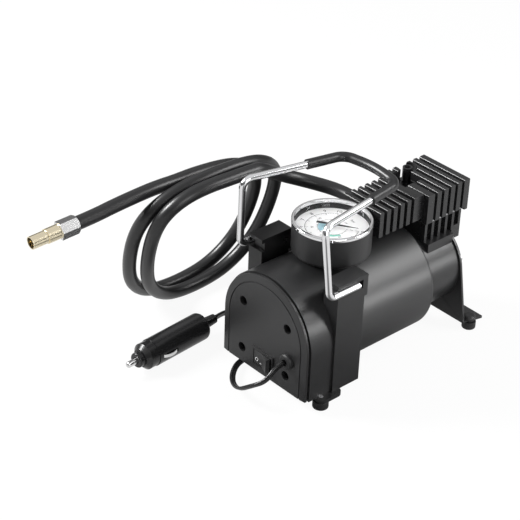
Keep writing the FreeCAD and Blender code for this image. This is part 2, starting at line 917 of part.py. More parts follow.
def armature():
    y0 = can_front_y + core_start
    y1 = y0 + core_length
    slot = box(-core_slot_width / 2, core_slot_width / 2, y0 - 1, y1 + 1,
               axis_height + core_radius - core_slot_depth, axis_height + core_radius + 1)
    core = tube_y(y0, y1, 0, axis_height, core_radius, shaft_radius)
    save("armature_core", cut_round(core, slot, slot_count))

    ends = []
    for start in (y0 - winding_height, y1):
        ring = tube_y(start, start + winding_height, 0, axis_height, winding_radius, winding_bore)
        ends.append(round_edges(ring, winding_edge_radius, lambda edge: len(edge.Vertexes) == 1
                                and edge.Length > 2 * math.pi * (winding_radius - 1)))
    save("armature_windings", ends)

    c0 = can_front_y + commutator_start
    c1 = c0 + commutator_length
    bars = tube_y(c0, c1, 0, axis_height, commutator_radius, shaft_radius)
    groove = box(-commutator_groove_width / 2, commutator_groove_width / 2, c0 - 1, c1 + 1,
                 axis_height + commutator_radius - commutator_groove_depth, axis_height + commutator_radius + 1)
    save("commutator", cut_round(bars, groove, segment_count))


def shaft_and_bearings():
    boss_y = can_front_y - end_cap_boss_length
    y0 = can_back_y + bearing_place
    y1 = y0 + bearing_width
    save("motor_shaft", rod_y(boss_y + 1.0, y1 + shaft_end_past_bearing, 0, axis_height, shaft_radius))
    bush = tube_y(boss_y + end_cap_lip, boss_y + end_cap_lip + bush_length, 0, axis_height, bush_radius,
                  shaft_radius + turn_gap)
    outer_race_bore = bearing_outer_radius - bearing_race
    outer_race = tube_y(y0, y1, 0, axis_height, bearing_outer_radius, outer_race_bore)
    inner_race = tube_y(y0, y1, 0, axis_height, shaft_radius + bearing_inner_race, shaft_radius + turn_gap)
    cage = tube_y(y0 + cage_inset, y1 - cage_inset, 0, axis_height, outer_race_bore,
                  shaft_radius + bearing_inner_race)
    save("motor_bearings", [bush, join(outer_race, inner_race, cage)])


def end_cap_and_brushes():
    boss_y = can_front_y - end_cap_boss_length
    card_y = can_front_y + end_cap_thickness
    cap = rod_y(can_front_y, card_y, 0, axis_height, can_radius - can_wall)
    cap = join(cap, rod_y(boss_y, can_front_y, 0, axis_height, end_cap_boss_radius))
    cap = cap.cut(rod_y(boss_y + end_cap_lip, boss_y + end_cap_lip + bush_length, 0, axis_height, bush_radius))
    save("motor_end_cap", cap.cut(rod_y(boss_y - 1, card_y + 1, 0, axis_height, shaft_radius + run_gap)))

    card = tube_y(card_y, card_y + brush_card_thickness, 0, axis_height, can_radius - can_wall - fit_gap,
                  commutator_radius + 2)
    brush_y0 = card_y + brush_card_thickness + brush_holder_wall + brush_room
    brush_y1 = brush_y0 + brush_width
    inner_x = commutator_radius + run_gap
    holder_end = inner_x + brush_length + brush_holder_length
    half = brush_width / 2
    outer_half = half + brush_room + brush_holder_wall
    holder = box(inner_x + brush_holder_start, holder_end, card_y + brush_card_thickness,
                 brush_y1 + brush_room + brush_holder_wall, axis_height - outer_half, axis_height + outer_half)
    hollow = box(inner_x - 1, holder_end - brush_holder_wall, brush_y0 - brush_room, brush_y1 + brush_room,
                 axis_height - half - brush_room, axis_height + half + brush_room)
    save("brush_card", [card] + both_sides(holder.cut(hollow)))
    brush = box(inner_x, inner_x + brush_length, brush_y0, brush_y1, axis_height - half, axis_height + half)
    save("carbon_brushes", both_sides(brush))
    spring_start = inner_x + brush_length + brush_spring_wire + turn_gap
    spring_length = holder_end - brush_holder_wall - brush_spring_wire - turn_gap - spring_start
    spring = coil_spring(spring_length, brush_spring_turns, brush_spring_radius, brush_spring_wire)
    spring.rotate(vec(0, 0, 0), Y_AXIS, 90)
    spring.translate(vec(spring_start, (brush_y0 + brush_y1) / 2, axis_height))
    save("brush_springs", both_sides(spring))


def coil_spring(length, turns, radius, wire):
    """A coil spring that stands on the origin along Z."""
    def place(t):
        angle = 2 * math.pi * t
        return vec(radius * math.cos(angle), radius * math.sin(angle), length * t / turns)
    return sweep_round(Part.Wire(wound_path(place, 0.0, turns, 0.25)[0]), wire)


def can_screws():
    """The screws that hold the crankcase to the can's rear wall, with their heads inside the can."""
    screws = []
    seat_y = can_back_y - can_wall
    for z in can_screw_heights():
        shank = rod_y(seat_y, can_back_y + can_screw_reach, 0, z, can_screw_radius)
        head = rod_y(seat_y - can_screw_head_height, seat_y, 0, z, can_screw_head_radius)
        screws.append(join(shank, head))
    save("can_screws", screws)


def crankcase():
    drum = rod_y(can_back_y, crankcase_back_y, 0, axis_height, crankcase_radius)
    pad = box(-pad_half_width, pad_half_width, can_back_y + pad_start, crankcase_back_y, pad_bottom, pad_top)
    shape = join(drum, pad)
    shape = shape.cut(box(-block_half_width - fit_gap, block_half_width + fit_gap, can_back_y + block_start - fit_gap,
                          crankcase_back_y + 1, pad_top, axis_height + 2 * crankcase_radius))
    shape = shape.cut(rod_y(can_back_y + crankcase_front_wall, crankcase_back_y - crankcase_rear_wall, 0, axis_height,
                            crankcase_radius - crankcase_wall))
    shape = shape.cut(rod_y(can_back_y - 1, can_back_y + bearing_place + bearing_width, 0, axis_height,
                            bearing_outer_radius))
    shape = shape.cut(rod_y(can_back_y, can_back_y + crankcase_front_wall + 1, 0, axis_height,
                            shaft_radius + crankcase_shaft_room))
    shape = shape.cut(rod_y(crankcase_back_y - crankcase_rear_wall - 1, crankcase_back_y + 1, 0, axis_height,
                            crankcase_port_radius))
    lowest_disc = axis_height - crank_throw + rod_length - piston_disc_thickness
    shape = shape.cut(rod_z(lowest_disc - run_gap, pad_top + 1, 0, cylinder_y, bore_radius))
    for z in can_screw_heights():
        shape = shape.cut(rod_y(can_back_y - 1, can_back_y + can_screw_reach + run_gap, 0, z,
                                can_screw_radius + screw_gap / 3))
    left_x, left_y = head_bolt_places()[0]
    shape = shape.cut(rod_z(pad_top - head_bolt_depth - run_gap, pad_top + 1, left_x, left_y,
                            head_bolt_radius + screw_gap / 3))
    for x, z in plate_screw_places():
        shape = shape.cut(rod_y(plate_back_y - plate_screw_length - run_gap, crankcase_back_y + 1, x, z,
                                small_screw_radius + screw_gap / 3))
    for x, y in block_screw_places():
        shape = shape.cut(rod_z(pad_top - block_screw_depth - screw_gap, pad_top + 1, x, y,
                                small_screw_radius + screw_gap / 3))
    save("crankcase", shape)


def plate_screw_places():
    circle = crankcase_radius - plate_screw_circle_inset
    return [(circle * math.cos(math.radians(angle)), axis_height + circle * math.sin(math.radians(angle)))
            for angle in plate_screw_angles]


def block_screw_places():
    return [(x, cylinder_y + dy) for x in (-block_screw_x, block_screw_x)
            for dy in (-block_screw_spread, block_screw_spread)]


def plate_screws():
    screws = []
    for x, z in plate_screw_places():
        head = cross_head(x, plate_back_y + plate_screw_head_height, z, plate_screw_head_radius,
                          -plate_screw_head_height)
        screws.append(join(head, rod_y(plate_back_y - plate_screw_length, plate_back_y, x, z, small_screw_radius)))
    return screws


def rear_plate():
    """A sheet behind the crankcase whose sides run down to a bent flange with the rear feet."""
    radius = crankcase_radius + plate_lip
    bottom = rear_foot_height
    flare = flange_half_width - flange_flare
    centre = vec(0, crankcase_back_y, axis_height)
    distance = math.hypot(flare, axis_height - bottom)
    base_angle = math.atan2(bottom - axis_height, flare)
    touch = base_angle + math.acos(radius / distance)
    right = centre.add(vec(radius * math.cos(touch), 0, radius * math.sin(touch)))
    left = vec(-right.x, right.y, right.z)
    crown = centre.add(vec(0, 0, radius))
    corner_right = vec(flare, crankcase_back_y, bottom)
    corner_left = vec(-flare, crankcase_back_y, bottom)
    edges = [Part.LineSegment(corner_right, right).toShape(), Part.Arc(right, crown, left).toShape(),
             Part.LineSegment(left, corner_left).toShape(),
             Part.LineSegment(corner_left, corner_right).toShape()]
    sheet = Part.Face(Part.Wire(edges)).extrude(vec(0, plate_thickness, 0))
    flange = prism([corner_left, corner_right, vec(flange_half_width, flange_edge_y, bottom),
                    vec(-flange_half_width, flange_edge_y, bottom)], vec(0, 0, plate_thickness))
    flange = flange.cut(box(-flange_window_half, flange_window_half, plate_back_y, flange_edge_y + 1,
                            bottom - 1, bottom + plate_thickness + 1))
    plate = join(sheet, flange)
    plate = plate.cut(box(-block_half_width - fit_gap, block_half_width + fit_gap, crankcase_back_y - 1,
                          plate_back_y + 1, pad_top - fit_gap, head_top))
    for hole in both_sides(rod_z(bottom - 1, bottom + plate_thickness + 1, rear_foot_x, rear_foot_y,
                                 rear_foot_neck_radius)):
        plate = plate.cut(hole)
    for x, z in plate_screw_places():
        plate = plate.cut(rod_y(crankcase_back_y - 1, plate_back_y + 1, x, z, small_screw_radius + screw_gap))
    save("rear_plate", plate)


def crank():
    y0 = can_back_y + crankcase_front_wall + crank_disc_gap
    y1 = y0 + crank_disc_thickness
    disc = rod_y(y0, y1, 0, axis_height, crank_disc_radius)
    weight = rod_y(y0, y1, 0, axis_height, counterweight_radius)
    lower = box(-counterweight_radius, counterweight_radius, y0, y1, axis_height - counterweight_radius - 1,
                axis_height - counterweight_drop)
    hub = rod_y(y0 - crank_hub_length, y0, 0, axis_height, crank_hub_radius)
    disc = join(disc, weight.common(lower), hub)
    disc = disc.cut(rod_y(y0 - crank_hub_length - 1, y0 + crank_socket_depth, 0, axis_height, shaft_radius))
    pin = rod_y(y1, cylinder_y - rod_width / 2 - run_gap, 0, axis_height + crank_throw, crank_pin_radius)
    save("crank_disc", join(disc, pin))


def piston():
    eye_z = axis_height + crank_throw
    top_z = eye_z + rod_length
    disc_z = top_z - piston_disc_thickness
    y0 = cylinder_y - rod_width / 2
    y1 = cylinder_y + rod_width / 2
    eye = rod_y(y0, y1, 0, eye_z, rod_eye_radius)
    shank = box(-rod_shank / 2, rod_shank / 2, cylinder_y - rod_shank / 2, cylinder_y + rod_shank / 2, eye_z, disc_z)
    disc = rod_z(disc_z, top_z, 0, cylinder_y, bore_radius - run_gap)
    rod = join(eye, shank, disc)
    rod = rod.cut(rod_y(y0 - 1, y1 + 1, 0, eye_z, rod_bearing_radius))
    rod = rod.cut(rod_z(top_z - clamp_depth - run_gap, top_z + 1, 0, cylinder_y, small_screw_radius + screw_gap / 3))
    save("connecting_rod", rod)
    save("rod_bearing", tube_y(y0, y1, 0, eye_z, rod_bearing_radius, crank_pin_radius + turn_gap))
    cap_z = top_z + cup_floor
    cup = rod_z(top_z, top_z + cup_thickness, 0, cylinder_y, bore_radius - cup_gap)
    cup = cup.cut(rod_z(cap_z, top_z + cup_thickness + 1, 0, cylinder_y, bore_radius - cup_gap - cup_wall))
    save("piston_cup", cup.cut(rod_z(top_z - 1, cap_z + 1, 0, cylinder_y, small_screw_radius + screw_gap)))
    head_z = cap_z + piston_cap_thickness
    cap = rod_z(cap_z, head_z, 0, cylinder_y, piston_cap_radius)
    head = rod_z(head_z, head_z + clamp_head_height, 0, cylinder_y, clamp_head_radius)
    save("piston_clamp_screw", join(cap, head, rod_z(top_z - clamp_depth, cap_z, 0, cylinder_y, small_screw_radius)))


def block_box(z0, z1, half_width=block_half_width, inset=0.0):
    """A slab with the outline of the cylinder block."""
    return box(-half_width, half_width, can_back_y + block_start + inset, can_back_y + block_end - inset, z0, z1)


def cylinder_block():
    y0 = can_back_y + block_start
    y1 = can_back_y + block_end
    base = block_box(pad_top, pad_top + block_base, block_core_half_width)
    core = block_box(pad_top, block_top, block_core_half_width, block_core_inset)
    barrel = rod_z(pad_top, block_top, 0, cylinder_y, bore_radius + barrel_wall)
    skirt = box(-block_half_width, block_half_width, skirt_front_y, y1, pad_top - block_skirt_drop,
                pad_top + block_base)
    shape = join(base, core, barrel, skirt)
    pitch = (y1 - y0 - block_fin_thickness) / (block_fin_count - 1)
    for index in range(block_fin_count):
        fin_y = y0 + index * pitch
        shape = join(shape, box(-block_half_width, block_half_width, fin_y, fin_y + block_fin_thickness,
                                pad_top, block_top))
    shape = shape.cut(rod_z(pad_top - 1, block_top + 1, 0, cylinder_y, bore_radius))
    for x, y in block_screw_places():
        shape = shape.cut(rod_z(pad_top - 1, block_top + 1, x, y, small_screw_radius + screw_gap))
        shape = shape.cut(rod_z(pad_top + block_base, block_top + 1, x, y, block_screw_head_radius + run_gap))
    shape = cut_head_bolt_holes(shape, pad_top - 1, block_top + 1)
    for x, y in head_bolt_places()[1:]:
        shape = shape.cut(rod_z(pad_top - block_skirt_drop - 1, pad_top, x, y, head_bolt_head_radius + run_gap))
    save("cylinder_block", shape)


def block_screws():
    screws = []
    seat_z = pad_top + block_base
    for x, y in block_screw_places():
        head = rod_z(seat_z, seat_z + block_screw_head_height, x, y, block_screw_head_radius)
        screws.append(join(head, rod_z(pad_top - block_screw_depth, seat_z, x, y, small_screw_radius)))
    return screws


def head_bolt_places():
    rear_y = (skirt_front_y + can_back_y + block_end) / 2
    return [(boss_x, can_back_y + boss_place), (-rear_bolt_x, rear_y), (rear_bolt_x, rear_y)]


def cut_head_bolt_holes(shape, z0, z1):
    for x, y in head_bolt_places():
        shape = shape.cut(rod_z(z0, z1, x, y, head_bolt_radius + screw_gap / 3))
    return shape


def gaskets_and_valves():
    z0 = block_top
    z1 = z0 + gasket_thickness
    z2 = z1 + valve_plate_thickness
    gasket = block_box(z0, z1)
    gasket = gasket.cut(rod_z(z0 - 1, z1 + 1, 0, cylinder_y, bore_radius + fit_gap))
    for x, y in block_screw_places():
        gasket = gasket.cut(rod_z(z0 - 1, z1 + 1, x, y, block_screw_head_radius + run_gap))
    save("head_gasket", cut_head_bolt_holes(gasket, z0 - 1, z1 + 1))
    plate = block_box(z1, z2)
    for x in (-port_x, port_x):
        plate = plate.cut(rod_z(z1 - 1, z2 + 1, x, cylinder_y, port_radius))
    save("valve_plate", cut_head_bolt_holes(plate, z1 - 1, z2 + 1))
    reeds = []
    for x, z, back in ((-port_x, z2, 10.0), (port_x, z1 - reed_thickness, 5.0)):
        reeds.append(box(x - reed_half_width, x + reed_half_width, cylinder_y - port_radius - 1, cylinder_y + back,
                         z, z + reed_thickness))
    save("reed_valves", reeds)


def fin(half_width, start, thickness, z0, z1):
    """One cooling fin across the head, with its two top edges rounded; start is measured from the can."""
    y0 = can_back_y + start
    slab = box(-half_width, half_width, y0, y0 + thickness, z0, z1)
    return round_edges(slab, fin_edge_radius, lambda edge: abs(edge.CenterOfMass.z - z1) < 0.01
                       and edge.Length > half_width)


def head_body():
    """The casting with all its fins, before its holes."""
    bottom = block_top + gasket_thickness + valve_plate_thickness
    y = can_back_y
    core_top = head_top - fin_depth
    front_last = front_fin_start + (front_fin_count - 1) * front_fin_pitch
    parts = [block_box(bottom, bottom + head_base),
             box(-rear_core_half_width, rear_core_half_width, y + rear_block_start, y + end_plate_start + 1,
                 bottom, core_top),
             box(-front_core_half_width, front_core_half_width, y + front_fin_start, y + rear_block_start + 1,
                 front_fin_bottom, core_top),
             box(-head_front_half_width, head_front_half_width, y + bridge_start, y + bridge_end,
                 front_fin_bottom, head_top - bridge_drop),
             box(-head_back_half_width, head_back_half_width, y + block_end + fit_gap, y + end_plate_end,
                 end_plate_bottom, bottom + 1),
             fin(head_back_half_width, rear_block_start, rear_block_end - rear_block_start, bottom, head_top),
             fin(head_back_half_width, end_plate_start, end_plate_end - end_plate_start, bottom, head_top)]
    for start in range(rear_fin_count):
        parts.append(fin(head_back_half_width, rear_fin_start + start * rear_fin_pitch, rear_fin_thickness,
                         bottom, head_top))
    for start in range(front_fin_count):
        parts.append(fin(head_front_half_width, front_fin_start + start * front_fin_pitch, front_fin_thickness,
                         front_fin_bottom, head_top))
    web = box(-front_core_half_width, front_core_half_width, y + front_last, y + bridge_start + 1,
              front_fin_bottom, core_top)
    return join(web, *parts)


def cylinder_head():
    bottom = block_top + gasket_thickness + valve_plate_thickness
    y = can_back_y
    neck_y = y + front_fin_start
    boss_y = y + boss_place
    pocket_z = head_top - pocket_depth
    shape = head_body()
    shape = shape.cut(rod_z(front_fin_bottom - 1, head_top + 1, 0, gauge_y, bezel_radius + run_gap))
    shape = shape.cut(box(pocket_left, pocket_right, y + pocket_start, boss_y - pocket_start, pocket_z, head_top + 1))
    shape = shape.cut(rod_z(pocket_z, head_top + 1, boss_x, boss_y, boss_room_radius))
    shape = join(shape, rod_z(pocket_z - 1, head_top, boss_x, boss_y, boss_radius),
                 rod_x(-head_front_half_width, -front_core_half_width + 1, port_y, nut_height, nut_boss_radius))
    shape = shape.cut(box(-chamber_half_width, chamber_half_width, cylinder_y - chamber_front,
                          cylinder_y + chamber_back, bottom - 1, bottom + chamber_height))
    shape = shape.cut(rod_y(neck_y + 1, cylinder_y - air_passage_inset + air_passage_radius / 2, 0,
                            air_passage_height, air_passage_radius))
    shape = shape.cut(rod_z(bottom + 1, air_passage_height, 0, cylinder_y - air_passage_inset, air_passage_radius))
    shape = shape.cut(rod_y(neck_y - 1, neck_y + stem_grip, 0, air_passage_height, stem_radius + turn_gap))
    shape = shape.cut(rod_x(-head_front_half_width - 1, 0, port_y, nut_height, air_passage_radius))
    hole_radius = head_bolt_radius + screw_gap / 3
    left_x, left_y = head_bolt_places()[0]
    shape = shape.cut(rod_z(bottom - 1, head_top + 1, left_x, left_y, hole_radius))
    shape = shape.cut(rod_z(head_top - boss_mouth_depth, head_top + 1, left_x, left_y, boss_mouth_radius))
    for x, bolt_y in head_bolt_places()[1:]:
        shape = shape.cut(rod_z(bottom - 1, head_top - rear_bolt_top_cover + run_gap, x, bolt_y, hole_radius))
    save("cylinder_head", shape)


def head_bolts():
    """One stud under the boss and two bolts from below the block's rear end."""
    left_x, left_y = head_bolt_places()[0]
    bolts = [rod_z(pad_top - head_bolt_depth, head_top - boss_mouth_depth, left_x, left_y, head_bolt_radius)]
    for x, y in head_bolt_places()[1:]:
        head = rod_z(pad_top - head_bolt_head_height, pad_top, x, y, head_bolt_head_radius)
        bolts.append(join(head, rod_z(pad_top, head_top - rear_bolt_top_cover, x, y, head_bolt_radius)))
    save("head_bolts", bolts)


def gauge_case():
    """The case with a ledge for the dial and a rebate that takes the lens and the bezel's skirt."""
    bore = gauge_radius - gauge_wall
    case = rod_z(gauge_bottom, bezel_bottom, 0, gauge_y, gauge_radius)
    case = round_edges(case, gauge_edge_radius, ring_at("z", gauge_bottom))
    case = case.cut(rod_z(gauge_bottom + gauge_wall, bezel_bottom + 1, 0, gauge_y, bore))
    case = case.cut(rod_z(lens_height, bezel_bottom + 1, 0, gauge_y, bore + lens_seat))
    ledge = tube_z(dial_height - dial_ledge_height, dial_height, 0, gauge_y, bore, bore - dial_ledge_width)
    hole = rod_y(gauge_y + movement_radius, gauge_y + gauge_radius + 1, 0, air_passage_height, stem_radius + turn_gap)
    save("gauge_case", join(case, ledge).cut(hole))


def gauge_movement():
    """The stem with its block and a plate that carries the pointer's staff, and the bent pressure tube."""
    z = air_passage_height
    block_y = gauge_y + movement_radius - stem_head_inset
    stem_end = can_back_y + front_fin_start + stem_grip
    stem = rod_y(block_y, stem_end, 0, z, stem_radius)
    half = movement_block_half
    block_front = block_y - movement_block_depth
    socket = box(-half, half, block_front, block_y, z - half, z + half)
    plate_z = dial_height - movement_plate_drop
    plate = box(-movement_plate_half, movement_plate_half, gauge_y - movement_plate_half, block_front + 1,
                plate_z, plate_z + movement_plate_thickness)
    leg = box(-movement_plate_half, movement_plate_half, block_front, block_front + movement_plate_thickness,
              z, plate_z + movement_plate_thickness)
    movement = join(socket, plate, leg, stem)
    movement = movement.cut(rod_y(block_y + stem_head_inset, stem_end + 1, 0, z, stem_bore_radius))
    movement = movement.cut(rod_z(plate_z - 1, dial_height, 0, gauge_y, pointer_shaft_radius + turn_gap))
    tube_inner = movement_radius + bourdon_gap
    z0 = z - bourdon_height / 2
    z1 = z + bourdon_height / 2
    bourdon = tube_z(z0, z1, 0, gauge_y, tube_inner + bourdon_wall, tube_inner)
    bourdon = bourdon.cut(box(-2 * gauge_radius, half + fit_gap, gauge_y, gauge_y + 2 * gauge_radius,
                              z0 - 1, z1 + 1))
    link = box(half, tube_inner + bourdon_wall / 2, block_front + 1, block_front + 1 + movement_plate_thickness,
               z0, z1)
    save("gauge_movement", [movement, join(bourdon, link)])


def dial_and_pointer():
    dial_top = dial_height + dial_thickness
    dial = rod_z(dial_height, dial_top, 0, gauge_y, gauge_radius - gauge_wall - fit_gap)
    save("gauge_dial", dial.cut(rod_z(dial_height - 1, dial_top + 1, 0, gauge_y, pointer_shaft_radius + run_gap)))
    blade_z = dial_top + pointer_rise
    half = pointer_half_width
    tip = pointer_tip_half_width
    outline = [(-pointer_tail, -half), (0, -half), (pointer_length, -tip), (pointer_length, tip), (0, half),
               (-pointer_tail, half)]
    blade = prism([vec(x, gauge_y + y, blade_z) for x, y in outline], vec(0, 0, pointer_thickness))
    hub = rod_z(blade_z, blade_z + pointer_hub_height, 0, gauge_y, pointer_hub_radius)
    staff = rod_z(dial_height - movement_plate_drop, blade_z, 0, gauge_y, pointer_shaft_radius)
    pointer = join(blade, hub, staff)
    pointer.rotate(vec(0, gauge_y, 0), Z_AXIS, pointer_rest_angle)
    save("gauge_pointer", pointer)


def bezel_and_lens():
    lens_radius = gauge_radius - gauge_wall + lens_seat - fit_gap
    lens_top = lens_height + lens_thickness
    save("gauge_lens", rod_z(lens_height, lens_top, 0, gauge_y, lens_radius))
    ring = rod_z(bezel_bottom, bezel_top, 0, gauge_y, bezel_radius)
    ring = round_edges(ring, bezel_edge_radius, ring_at("z", bezel_top))
    skirt = rod_z(lens_top, bezel_bottom, 0, gauge_y, lens_radius)
    save("gauge_bezel", join(ring, skirt).cut(rod_z(lens_top - 1, bezel_top + 1, 0, gauge_y,
                                                    bezel_radius - bezel_rim)))


def hose_turn(t):
    """The centre of the standing hose, where t is the angle wound so far."""
    turns = t / (2 * math.pi)
    half_height = hose_coil_half_height * (1 - hose_coil_shrink * turns)
    half_depth = hose_coil_half_depth * (1 - hose_coil_depth_shrink * turns)
    half_depth *= 1 + hose_coil_front_bulge * math.cos(t)
    sine = math.sin(t)
    cosine = math.cos(t)
    rise = half_height * (1 + math.copysign(abs(cosine) ** hose_coil_squareness, cosine))
    across = -half_depth * math.copysign(abs(sine) ** hose_coil_squareness, sine)
    across -= hose_coil_skew * (rise - half_height)
    x = hose_coil_x - hose_coil_step * turns - hose_coil_x_skew * across
    x -= (2 * hose_coil_half_height - rise) * math.sin(hose_coil_lean)
    y = hose_coil_place - hose_coil_drift * turns + across
    z = hose_radius + floor_gap + rise * math.cos(hose_coil_lean)
    end_blend = 0.4 * math.pi
    z -= hose_first_sink * max(0.0, 1 - t / end_blend) ** 2
    z += hose_last_lift * max(0.0, 1 - (2 * math.pi * hose_coil_turns - t) / end_blend) ** 2
    return vec(x, model_y(y), z)


def hose_lead_points(nut_face):
    """The hose leaves the nut to the left and bends round into the coil's first turn."""
    return [nut_face, nut_face.sub(vec(hose_nut_straight, 0, 0)), vec(-49.2, model_y(106.4), 98.0),
            vec(-59.2, model_y(99.8), 99.7), vec(-66.5, model_y(91.0), 102.9), vec(-70.6, model_y(80.9), 107.4),
            vec(-71.3, model_y(70.3), 113.4)]


def hose_end_points(coil_end, end_tangent):
    """The hose's free end runs forward past the front of the body."""
    return [coil_end, coil_end.add(end_tangent * 8), vec(-98.6, model_y(-14.0), 119.9),
            vec(-99.0, model_y(-28.7), 119.5), vec(-100.0, model_y(-52.5), 117.4),
            vec(-100.8, model_y(-67.2), 115.2), vec(-101.5, model_y(-82.5), 114.2)]


def hose():
    nut_x = -head_front_half_width - nut_length
    nut = rod_x(nut_x, -head_front_half_width, port_y, nut_height, nut_radius)
    nut = nut.cut(rod_x(nut_x - 1, -head_front_half_width + 1, port_y, nut_height, air_passage_radius))
    save("hose_nut", nut)

    last = 2 * math.pi * hose_coil_turns
    edges, start_tangent, end_tangent = wound_path(hose_turn, 0.0, last, math.pi / 2)
    start = hose_turn(0.0)
    end = hose_turn(last)
    coil_start = start.sub(start_tangent * 2 * hose_radius)
    coil_end = end.add(end_tangent * 2 * hose_radius)
    edges = ([Part.LineSegment(coil_start, start).toShape()] + edges
             + [Part.LineSegment(end, coil_end).toShape()])
    save("hose_coil", wound_tube("hose coil", edges, hose_radius, 2 * math.pi * hose_coil_half_depth))

    lead_points = hose_lead_points(vec(nut_x, port_y, nut_height))
    lead_points += [coil_start.sub(start_tangent * 12.0), coil_start]
    save("hose_lead", cord_stretch("hose lead", lead_points, hose_radius))
    end_points = hose_end_points(coil_end, end_tangent)
    save("hose_end", cord_stretch("hose end", end_points, hose_radius))
    return end_points[-1], end_points[-1].sub(end_points[-2]).normalize()


def wound_tube(name, edges, radius, turn_length):
    """A round tube along a wound path, with its least gap to itself and its volume checked."""
    path = Part.Wire(edges)
    tube = sweep_round(path, radius)
    expected = math.pi * radius * radius * path.Length
    print(name, "length", round(path.Length, 1), "least gap",
          round(least_self_gap(path, radius, turn_length), 2), "volume share", round(tube.Volume / expected, 4))
    return tube


def place_along(start, forward):
    """Gives a function that lays a piece made along -Y at a point, facing a direction."""
    placement = FreeCAD.Placement(start, FreeCAD.Rotation(vec(0, -1, 0), forward))

    def place(shape):
        shape.Placement = placement.multiply(shape.Placement)
        return shape
    return place


def nozzle(start, direction):
    place = place_along(start, direction)
    corner = ferrule_across_flats / math.sqrt(3)
    angles = [math.radians(60 * index + ferrule_turn) for index in range(6)]
    ferrule = prism([vec(corner * math.cos(angle), 0, corner * math.sin(angle)) for angle in angles],
                    vec(0, -ferrule_length, 0))
    flat = ferrule_across_flats / 2
    slope = Part.makeCone(flat, flat + 2 * ferrule_chamfer, 2 * ferrule_chamfer, vec(0, 0, 0), vec(0, -1, 0))
    ferrule = ferrule.common(slope.fuse(rod_y(-ferrule_length - 1, -ferrule_chamfer, 0, 0, 2 * corner)))
    ferrule = ferrule.cut(rod_y(-ferrule_length - 1, 1, 0, 0, airway_radius))
    save("hose_ferrule", place(ferrule))
    base_y = -ferrule_length
    step_y = base_y - nozzle_length
    mouth_y = step_y - nozzle_tip_length
    body = join(rod_y(step_y, base_y, 0, 0, nozzle_radius), rod_y(mouth_y, step_y, 0, 0, nozzle_tip_radius))
    body = body.cut(rod_y(mouth_y - 1, mouth_y + valve_depth, 0, 0, nozzle_bore))
    body = body.cut(rod_y(mouth_y, base_y + 1, 0, 0, airway_radius))
    pin_y = mouth_y + valve_depth + depressor_inset
    pin = rod_y(pin_y, pin_y + depressor_length, 0, 0, depressor_radius)
    bar = box(-airway_radius - fit_gap, airway_radius + fit_gap, pin_y + depressor_length - depressor_bar,
              pin_y + depressor_length, -depressor_bar / 2, depressor_bar / 2)
    save("brass_nozzle", place(join(body, pin, bar)))


def cord_turn(t):
    """The centre of the put-away cord coil; t counts turns."""
    layer_turns = cord_coil_turns + cord_coil_climb
    layer = min(int(t / layer_turns), cord_coil_layers - 1)
    along = t - layer * layer_turns
    last = layer == cord_coil_layers - 1
    wound = (along if last else min(along, cord_coil_turns)) * cord_coil_pitch
    outer = cord_coil_inner + cord_coil_pitch * cord_coil_turns
    radius = outer - wound if layer % 2 == 0 else cord_coil_inner + wound
    climb = max(0.0, along - cord_coil_turns) / cord_coil_climb
    smooth = climb * climb * (3 - 2 * climb)
    height = cord_radius + floor_gap + cord_coil_pitch * (layer + (0.0 if last else smooth))
    angle = -2 * math.pi * t - math.pi / 2
    return vec(cord_coil_x + radius * math.cos(angle), model_y(cord_coil_place) + radius * math.sin(angle), height)


def cord_lead_points(low):
    """The cord leaves the grommet, loops down in front of the cover and runs back under the body."""
    exit_y = panel_y - grommet_stand
    return [vec(grommet_x, exit_y, grommet_height), vec(grommet_x, exit_y - 7.6, grommet_height - 0.5),
            vec(23.7, model_y(-19.9), 25.2), vec(14.0, model_y(-25.2), 18.4), vec(3.4, model_y(-25.5), 10.0),
            vec(-8.8, model_y(-20.3), 5.5), vec(-19.1, model_y(-11.9), 4.1), vec(-26.8, model_y(-1.1), 3.4),
            vec(-29.5, model_y(9.5), low), vec(-32.0, model_y(24.0), low), vec(-37.0, model_y(40.0), low),
            vec(-45.0, model_y(56.0), low), vec(-54.0, model_y(68.5), low)]


def cord_tail_points(low):
    """The cord comes down from the coil and turns forward into the plug's sleeve."""
    return [vec(-56.5, model_y(81.0), 14.0), vec(-61.5, model_y(68.0), 9.5), vec(-68.5, model_y(57.0), 5.0),
            vec(-76.0, model_y(47.5), low), vec(-79.5, model_y(37.0), 4.0), vec(-76.6, model_y(27.5), 8.2)]


def power_cord(plug_end):
    """The cord from the grommet to its put-away coil, and from the coil back to the plug."""
    total_turns = cord_coil_layers * (cord_coil_turns + cord_coil_climb) - 0.25
    edges, start_tangent, end_tangent = wound_path(cord_turn, 0.0, total_turns, 0.25)
    start = cord_turn(0.0)
    end = cord_turn(total_turns)
    flat_start = vec(start_tangent.x, start_tangent.y, 0).normalize()
    flat_end = vec(end_tangent.x, end_tangent.y, 0).normalize()
    coil_start = start.sub(flat_start * 2 * cord_radius)
    coil_end = end.add(flat_end * 2 * cord_radius)
    edges = ([Part.LineSegment(coil_start, start).toShape()] + edges
             + [Part.LineSegment(end, coil_end).toShape()])
    save("cord_coil", wound_tube("cord coil", edges, cord_radius, 2 * math.pi * cord_coil_inner))
    low = cord_radius + floor_gap
    lead = cord_lead_points(low) + [coil_start.sub(flat_start * 15), coil_start]
    save("cord_lead", cord_stretch("cord lead", lead, cord_radius))
    tail = [coil_end, coil_end.add(flat_end * 13)] + cord_tail_points(low) + [plug_end]
    save("cord_tail", cord_stretch("cord tail", tail, cord_radius))


